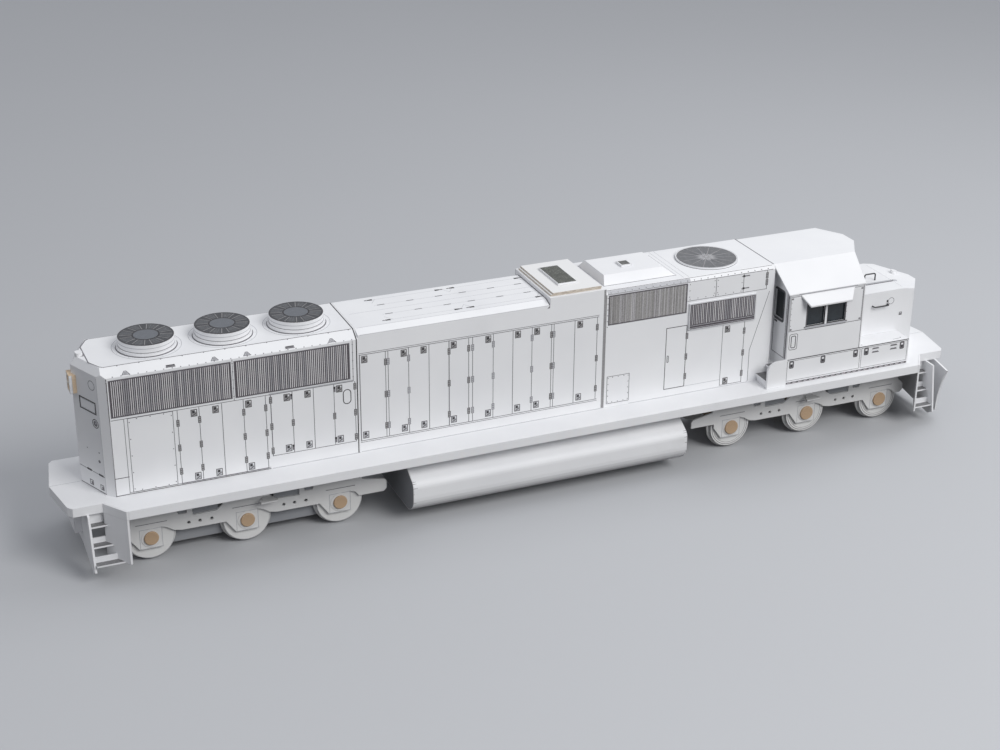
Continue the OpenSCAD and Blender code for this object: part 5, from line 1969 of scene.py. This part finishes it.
@dataclass
class Deck(Section):
    """Creases on the deck, dark paper on the treads, and the upper parts of the end steps' panels."""

    node: ClassVar[str] = "deck"
    tread_rise: tuple[float, ...] = (13.9, 5.1, -1.5)
    tread_front: tuple[float, ...] = (9.3, 7.4, 2.4)
    tread_depth: tuple[float, ...] = (4.1, 4.2, 4.0)
    panel_lean: float = 0.703
    panel_from: float = 18.2
    panel_y: float = 24.0
    cab_rise: float = 4.05
    cab_run: float = 10.6

    def build(self) -> None:
        """Builds the deck print, the treads of the cab steps and ladders, and the panels' tops."""
        art = Artwork("deck_print")
        top = top_sheet(self.low.x, self.high.z)
        for u0, u1 in ((0.3, 13.5), (self.length - 10.0, self.length - 0.3)):
            art.line(top, (u0, 0), (u1, 0), 0.2, PALE)
        art.piece(self.palette)
        self._cab_treads()
        self._ladder_treads()
        self._panel_tops()

    def _cab_treads(self) -> None:
        """Lays dark paper on the cab steps' treads."""
        art = Artwork("cab_step_treads")
        rise, length, corner = self.cab_rise, self.cab_run, 0.25
        for side in Side:
            low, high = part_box(f"{side.word}_cab_steps")
            near = max(abs(low.y), abs(high.y)) / MM - 1.0 - corner
            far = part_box("central_hood")[1].y / MM + corner
            for count, start in ((1, 0.0), (2, length / 2)):
                step = top_sheet(high.x - length * MM, low.z + rise * count * MM)
                tread = oblong(start + 0.15, side.value * far, length - 0.1, side.value * near)
                art.slab(step, tread, Stock.TREAD, 0.05)
        art.piece(self.palette)

    def _ladder_treads(self) -> None:
        """Lays dark paper on the three treads of each ladder, up to the slanted side panel."""
        art = Artwork("ladder_treads")
        axle_z = (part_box("axle_1")[0].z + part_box("axle_1")[1].z) / 2
        for end, way in (("rear", 1), ("front", -1)):
            for side in Side:
                low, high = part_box(f"{end}_{side.word}_ladder")
                start = low.x if way > 0 else high.x
                tip = self.low.x if way > 0 else self.high.x
                offset = abs(start - tip) / MM
                wide = max(abs(low.y), abs(high.y)) / MM
                for rise, setback, depth in zip(self.tread_rise, self.tread_front, self.tread_depth):
                    front, rear = wide - setback - 0.1, wide - setback - depth + 0.7
                    ends = [self._panel(v) - offset - 0.1 for v in (rear, front)]
                    tread = [(0.1, rear), (ends[0], rear), (ends[1], front), (0.1, front)]
                    sheet = self._quarter(start, axle_z + rise * MM, way, side)
                    art.slab(sheet, tread, Stock.TREAD, 0.05)
        art.piece(self.palette)

    def _panel_tops(self) -> None:
        """Carries each ladder's slanted side panel up over the deck's edge."""
        art = Artwork("ladder_panel_tops")
        wide, height = self.high.y / MM, measure(self.low, self.high)[2]
        near, far = self._panel(self.panel_y), self._panel(wide)
        plan = [(near, self.panel_y), (far, wide), (far + 1.0, wide), (near + 1.0, self.panel_y)]
        for tip, way in ((self.low.x, 1), (self.high.x, -1)):
            for side in Side:
                art.slab(self._quarter(tip, self.low.z, way, side), plan, Stock.WHITE_CARD, height, 0.0)
        art.piece(self.palette, "body", "white_card")

    @staticmethod
    def _quarter(x: float, z: float, way: int, side: Side) -> Sheet:
        """A level sheet at one corner, with u running in from the deck's end and v out to the side."""
        return Sheet(Vector((x, 0, z)), Vector((way, 0, 0)), Vector((0, side.value, 0)), Z)

    def _panel(self, y: float) -> float:
        """Returns the distance of a ladder's slanted panel from the deck's end, at a distance y."""
        return self.panel_from + max(0.0, y - self.panel_y) * self.panel_lean


@dataclass
class FuelTank(Section):
    """The fuel tank's grey ends, partly painted shade, and the glue tabs along the edges of its skin."""

    node: ClassVar[str] = "fuel_tank"
    edge_r: float = 8.5
    shoulder_r: float = 4.0
    shoulder_v: float = 13.2
    top_half: float = 18.5

    def section(self, inset: float) -> list[Point]:
        """Returns half of the tank's section, from the deck down to its floor, set in by inset.

        Args:
            inset: How far it is set in, in millimetres.

        Returns:
            The points.
        """
        half, height = self.high.y / MM, measure(self.low, self.high)[2]
        points = [(self.top_half - inset, height)]
        for turns, radius, v in (([60 - 15 * i for i in range(5)], self.shoulder_r, self.shoulder_v),
                                 ([-90 * i / 8 for i in range(9)], self.edge_r, self.edge_r)):
            for turn in turns:
                points.append(polar(radius - inset, math.radians(turn), half - radius, v))
        return points

    def build(self) -> None:
        """Builds the end faces, grey partly as painted shade, and the tab marks."""
        art = Artwork("fuel_tank_print")
        half = self.section(0.35)
        outline = half + [(-u, v) for u, v in reversed(half)]
        # Grey card on both end faces: partly the ends' own colour, partly painted shade, darker to stand
        # in for the shade under the deck.
        for x, out in ((self.low.x, -1), (self.high.x, 1)):
            end = end_sheet(x, self.low.z, out)
            art.slab(end, outline, Stock.GREY_CARD, 0.04)
        self._tabs(art)
        art.piece(self.palette)

    def _tabs(self, art: Artwork) -> None:
        """Marks the cuts between the glue tabs, which follow the skin round the section.

        Args:
            art: The piece to add to.
        """
        chance = random.Random(5)
        half = self.section(0.0)
        for side in Side:
            for (y0, z0), (y1, z1) in zip(half[1:], half[2:]):
                if chance.random() < 0.25:
                    continue
                middle = Vector((0, side.value * (y0 + y1) / 2, (z0 + z1) / 2)) * MM + Z * self.low.z
                up = Vector((0, side.value * (y0 - y1), z0 - z1)).normalized()
                out = Vector((0, side.value * up.z, -side.value * up.y))
                for x, way in ((self.low.x, 1), (self.high.x, -1)):
                    sheet = Sheet(middle + Vector((x, 0, 0)), Vector((way, 0, 0)), up, out)
                    reach = chance.uniform(0.4, 2.2)
                    cut = [(0.05, -0.13), (reach, -0.05), (reach, 0.05), (0.05, 0.13)]
                    art.slab(sheet, cut, GREY)


# ---- Trucks -----------------------------------------------------------------------------


@dataclass
class Truck:
    """The printed lines on one truck's side frames and wheels, and its cut dowel ends.

    Each ring has its radius, its width and what it is printed with.
    """

    palette: Palette
    end: str
    axles: tuple[int, int, int]
    rings: tuple[tuple[float, float, Stock], ...]
    dowel_r: float
    frame_out: float = 1.3

    def build(self) -> None:
        """Builds the frame prints, the wheels' printed rings and the dowels."""
        for side in Side:
            self._frame_print(side)
        for axle in self.axles:
            self._wheel_print(axle)
            self._dowel(axle)

    def _frame_print(self, side: Side) -> None:
        """Prints the box lines round each axle on one side frame.

        Args:
            side: Which side.
        """
        art = Artwork(f"{self.end}_truck_{side.word}_print")
        for axle in self.axles:
            low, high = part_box(f"axle_{axle}")
            centre = (low + high) / 2
            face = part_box("wheels_1")[1].y + self.frame_out * MM
            wall = side_sheet(centre.x, face, centre.z, side)
            art.path(wall, [(-5.0, -4.9), (-5.0, 4.4), (4.85, 4.4), (4.85, -4.9)], 0.24, PALE)
            art.line(wall, (-5.0, -4.9), (4.85, -4.9), 0.2, PALE)
            art.line(wall, (-6.4, 7.0), (7.2, 7.0), 0.3, GREY)
        art.piece(self.palette, f"{self.end}_truck")

    def _wheel_print(self, axle: int) -> None:
        """Prints the rim lines of one pair of wheels, and lays a card washer round each dowel end.

        Args:
            axle: The axle's number.
        """
        low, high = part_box(f"wheels_{axle}")
        centre = (low + high) / 2
        art = Artwork(f"wheel_{axle}_print")
        for side in Side:
            face = side_sheet(centre.x, high.y, centre.z, side)
            for radius, width, stock in self.rings:
                art.ring(face, 0, 0, radius, width, stock, 64)
            frame = side_sheet(centre.x, high.y + self.frame_out * MM, centre.z, side)
            outer, inner = circle(0, 0, 4.5, 48), circle(0, 0, self.dowel_r - 0.1, 48)
            art.band(frame, outer, inner, Stock.TRUCK_CARD, 0.16, -0.1)
        art.piece(self.palette, f"wheelset_{axle}")

    def _dowel(self, axle: int) -> None:
        """Turns one axle's dowel, with its cut ends reduced and their rims worn round.

        Args:
            axle: The axle's number.
        """
        low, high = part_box(f"axle_{axle}")
        half, full, end = (high.y - low.y) / 2 / MM, (high.x - low.x) / 2 / MM, self.dowel_r
        rim = [(half - 1.0, full), (half - 1.0, end), (half - 0.35, end), (half - 0.12, end - 0.12),
               (half, end - 0.4)]
        profile = [(-along, radius) for along, radius in reversed(rim)] + rim
        body = f"wheelset_{axle}"
        made = turned(self.palette, f"dowel_{axle}", (low + high) / 2, profile, Stock.DOWEL, body)
        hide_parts(f"axle_{axle}")


# ---- Studio -----------------------------------------------------------------------------


@dataclass(frozen=True)
class Lamp:
    """One soft light: where it stands, its size, power and colour. It is turned to the model's middle."""

    name: str
    place: tuple[float, float, float]
    size: float
    power: float
    colour: Colour = (1.0, 1.0, 1.0)


@dataclass
class Studio:
    """A plain pale floor, two soft lamps, a pale surround and the camera."""

    floor_colour: Colour = (0.52, 0.53, 0.55)
    floor_shade: Colour = (0.07, 0.07, 0.072)
    floor_reach: float = 6.0
    world_colour: Colour = (0.93, 0.95, 1.0)
    world_strength: float = 0.55
    lens: float = 64.09
    camera_place: tuple[float, float, float] = (-0.31404, -0.69831, 0.39990)
    azimuth: float = -23.238
    elevation: float = 24.626
    roll: float = 0.466
    lamps: tuple[Lamp, ...] = (
        Lamp("key", (0.45, -1.05, 0.95), 0.8, 12.6, (1.0, 0.995, 0.98)),
        Lamp("front", (0.5, 0.15, 0.75), 0.5, 1.3, (0.98, 0.99, 1.0)),
    )

    def build(self) -> None:
        """Builds the floor, the lamps, the world and the camera."""
        self._floor()
        self._world()
        for lamp in self.lamps:
            self._lamp(lamp)
        self._camera()
        bpy.context.scene.view_settings.view_transform = "Standard"

    def _floor(self) -> None:
        """Lays the floor under the wheels: pale to look at, darker in the light that it throws back."""
        mesh = bpy.data.meshes.new("floor")
        outline = [(u, v, 0) for u, v in oblong(0, 0, 0, 0, self.floor_reach)]
        mesh.from_pydata(outline, [], [(0, 1, 2, 3)])
        material, bench, shader = start_material("floor_paper", 0.95, 0.1)
        where = bench.add("TexCoord").outputs["Object"]
        darker = tuple(0.97 * c for c in self.floor_colour)
        seen = bench.blend(bench.noise(where, 3.0, 2.0), self.floor_colour, darker)
        rays = bench.add("LightPath").outputs
        direct = bench.math("MAXIMUM", rays["Is Camera Ray"], rays["Is Glossy Ray"])
        looked_at = bench.math("MAXIMUM", direct, rays["Is Transmission Ray"])
        bench.feed(shader, {"Base Color": bench.blend(looked_at, self.floor_shade, seen)})
        mesh.materials.append(material)
        floor = bpy.data.objects.new("floor", mesh)
        bpy.context.scene.collection.objects.link(floor)

    def _world(self) -> None:
        """Sets an even pale surround."""
        world = bpy.data.worlds.new("studio")
        world.use_nodes = True
        sky = world.node_tree.nodes["Background"]
        sky.inputs["Color"].default_value = (*self.world_colour, 1.0)
        sky.inputs["Strength"].default_value = self.world_strength
        bpy.context.scene.world = world

    def _lamp(self, lamp: Lamp) -> None:
        """Hangs one area lamp and turns it to the model.

        Args:
            lamp: The lamp to hang.
        """
        data = bpy.data.lights.new(lamp.name, "AREA")
        data.shape = "DISK"
        data.size = lamp.size
        data.energy = lamp.power
        data.color = lamp.colour
        made = bpy.data.objects.new(lamp.name, data)
        made.location = lamp.place
        made.rotation_euler = (-Vector(lamp.place)).to_track_quat("-Z", "Y").to_euler()
        bpy.context.scene.collection.objects.link(made)

    def _camera(self) -> None:
        """Places the camera."""
        az, el, roll = (math.radians(a) for a in (self.azimuth, self.elevation, self.roll))
        back = Vector((math.sin(az) * math.cos(el), -math.cos(az) * math.cos(el), math.sin(el)))
        right = (-back).cross(Z).normalized()
        up = right.cross(-back)
        rolled_right = right * math.cos(roll) + up * math.sin(roll)
        rolled_up = up * math.cos(roll) - right * math.sin(roll)
        data = bpy.data.cameras.new("camera")
        data.lens = self.lens
        data.sensor_width = 36.0
        camera = bpy.data.objects.new("camera", data)
        basis = Matrix((rolled_right, rolled_up, back)).transposed()
        camera.matrix_world = Matrix.Translation(Vector(self.camera_place)) @ basis.to_4x4()
        bpy.context.scene.collection.objects.link(camera)
        bpy.context.scene.camera = camera


# ---- The model ----------------------------------------------------------------------------


def dress_frame(frame: dict, palette: Palette) -> None:
    """Gives every construction node its finish.

    Args:
        frame: The loaded frame.
        palette: Where the materials come from.
    """
    special = {
        Stock.BOARD_TOP: ["exhaust_box"],
        Stock.BOARD_END: ["rear_headlight"],
        Stock.FILM: ["cab_glazing"],
        Stock.WIRE: ["grab_irons"],
        Stock.GREY_CARD: ["rear_truck_core", "front_truck_core"],
        Stock.DOWEL: ["pivot_pins"] + [f"axle_{i}" for i in range(1, 7)],
        Stock.WHEEL_CARD: [f"wheels_{i}" for i in range(1, 7)],
        Stock.TRUCK_CARD: [f"{end}_truck_{side.word}_frame"
                           for end in ("rear", "front") for side in Side],
    }
    taken = {name for names in special.values() for name in names}
    palette.dress(frame, Stock.WHITE_CARD, *(name for name in frame["nodes"] if name not in taken))
    for stock, names in special.items():
        palette.dress(frame, stock, *names)


def corners(box: tuple) -> list[list[float]]:
    """Returns a box's two corners as plain lists."""
    return [[float(c) for c in corner] for corner in box]


def main() -> None:
    """Builds the whole model around the frame."""
    logging.basicConfig(level=logging.INFO, format="%(message)s")
    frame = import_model()
    Studio().build()
    palette = Palette()
    dress_frame(frame, palette)
    for part in (RearHood, RadiatorFans, EngineHood, ExhaustBox, CentralHood, BrakeFan, Cab, Nose,
                 BatteryBoxes, Deck, FuelTank):
        part(palette).build()
    Truck(palette, "rear", (1, 2, 3), ((10.45, 0.14, PALE),), 3.25).build()
    rings = ((9.9, 0.26, GREY), (8.9, 0.2, Stock.SEAM))
    Truck(palette, "front", (4, 5, 6), rings, 3.6).build()


if __name__ == "__main__":
    main()
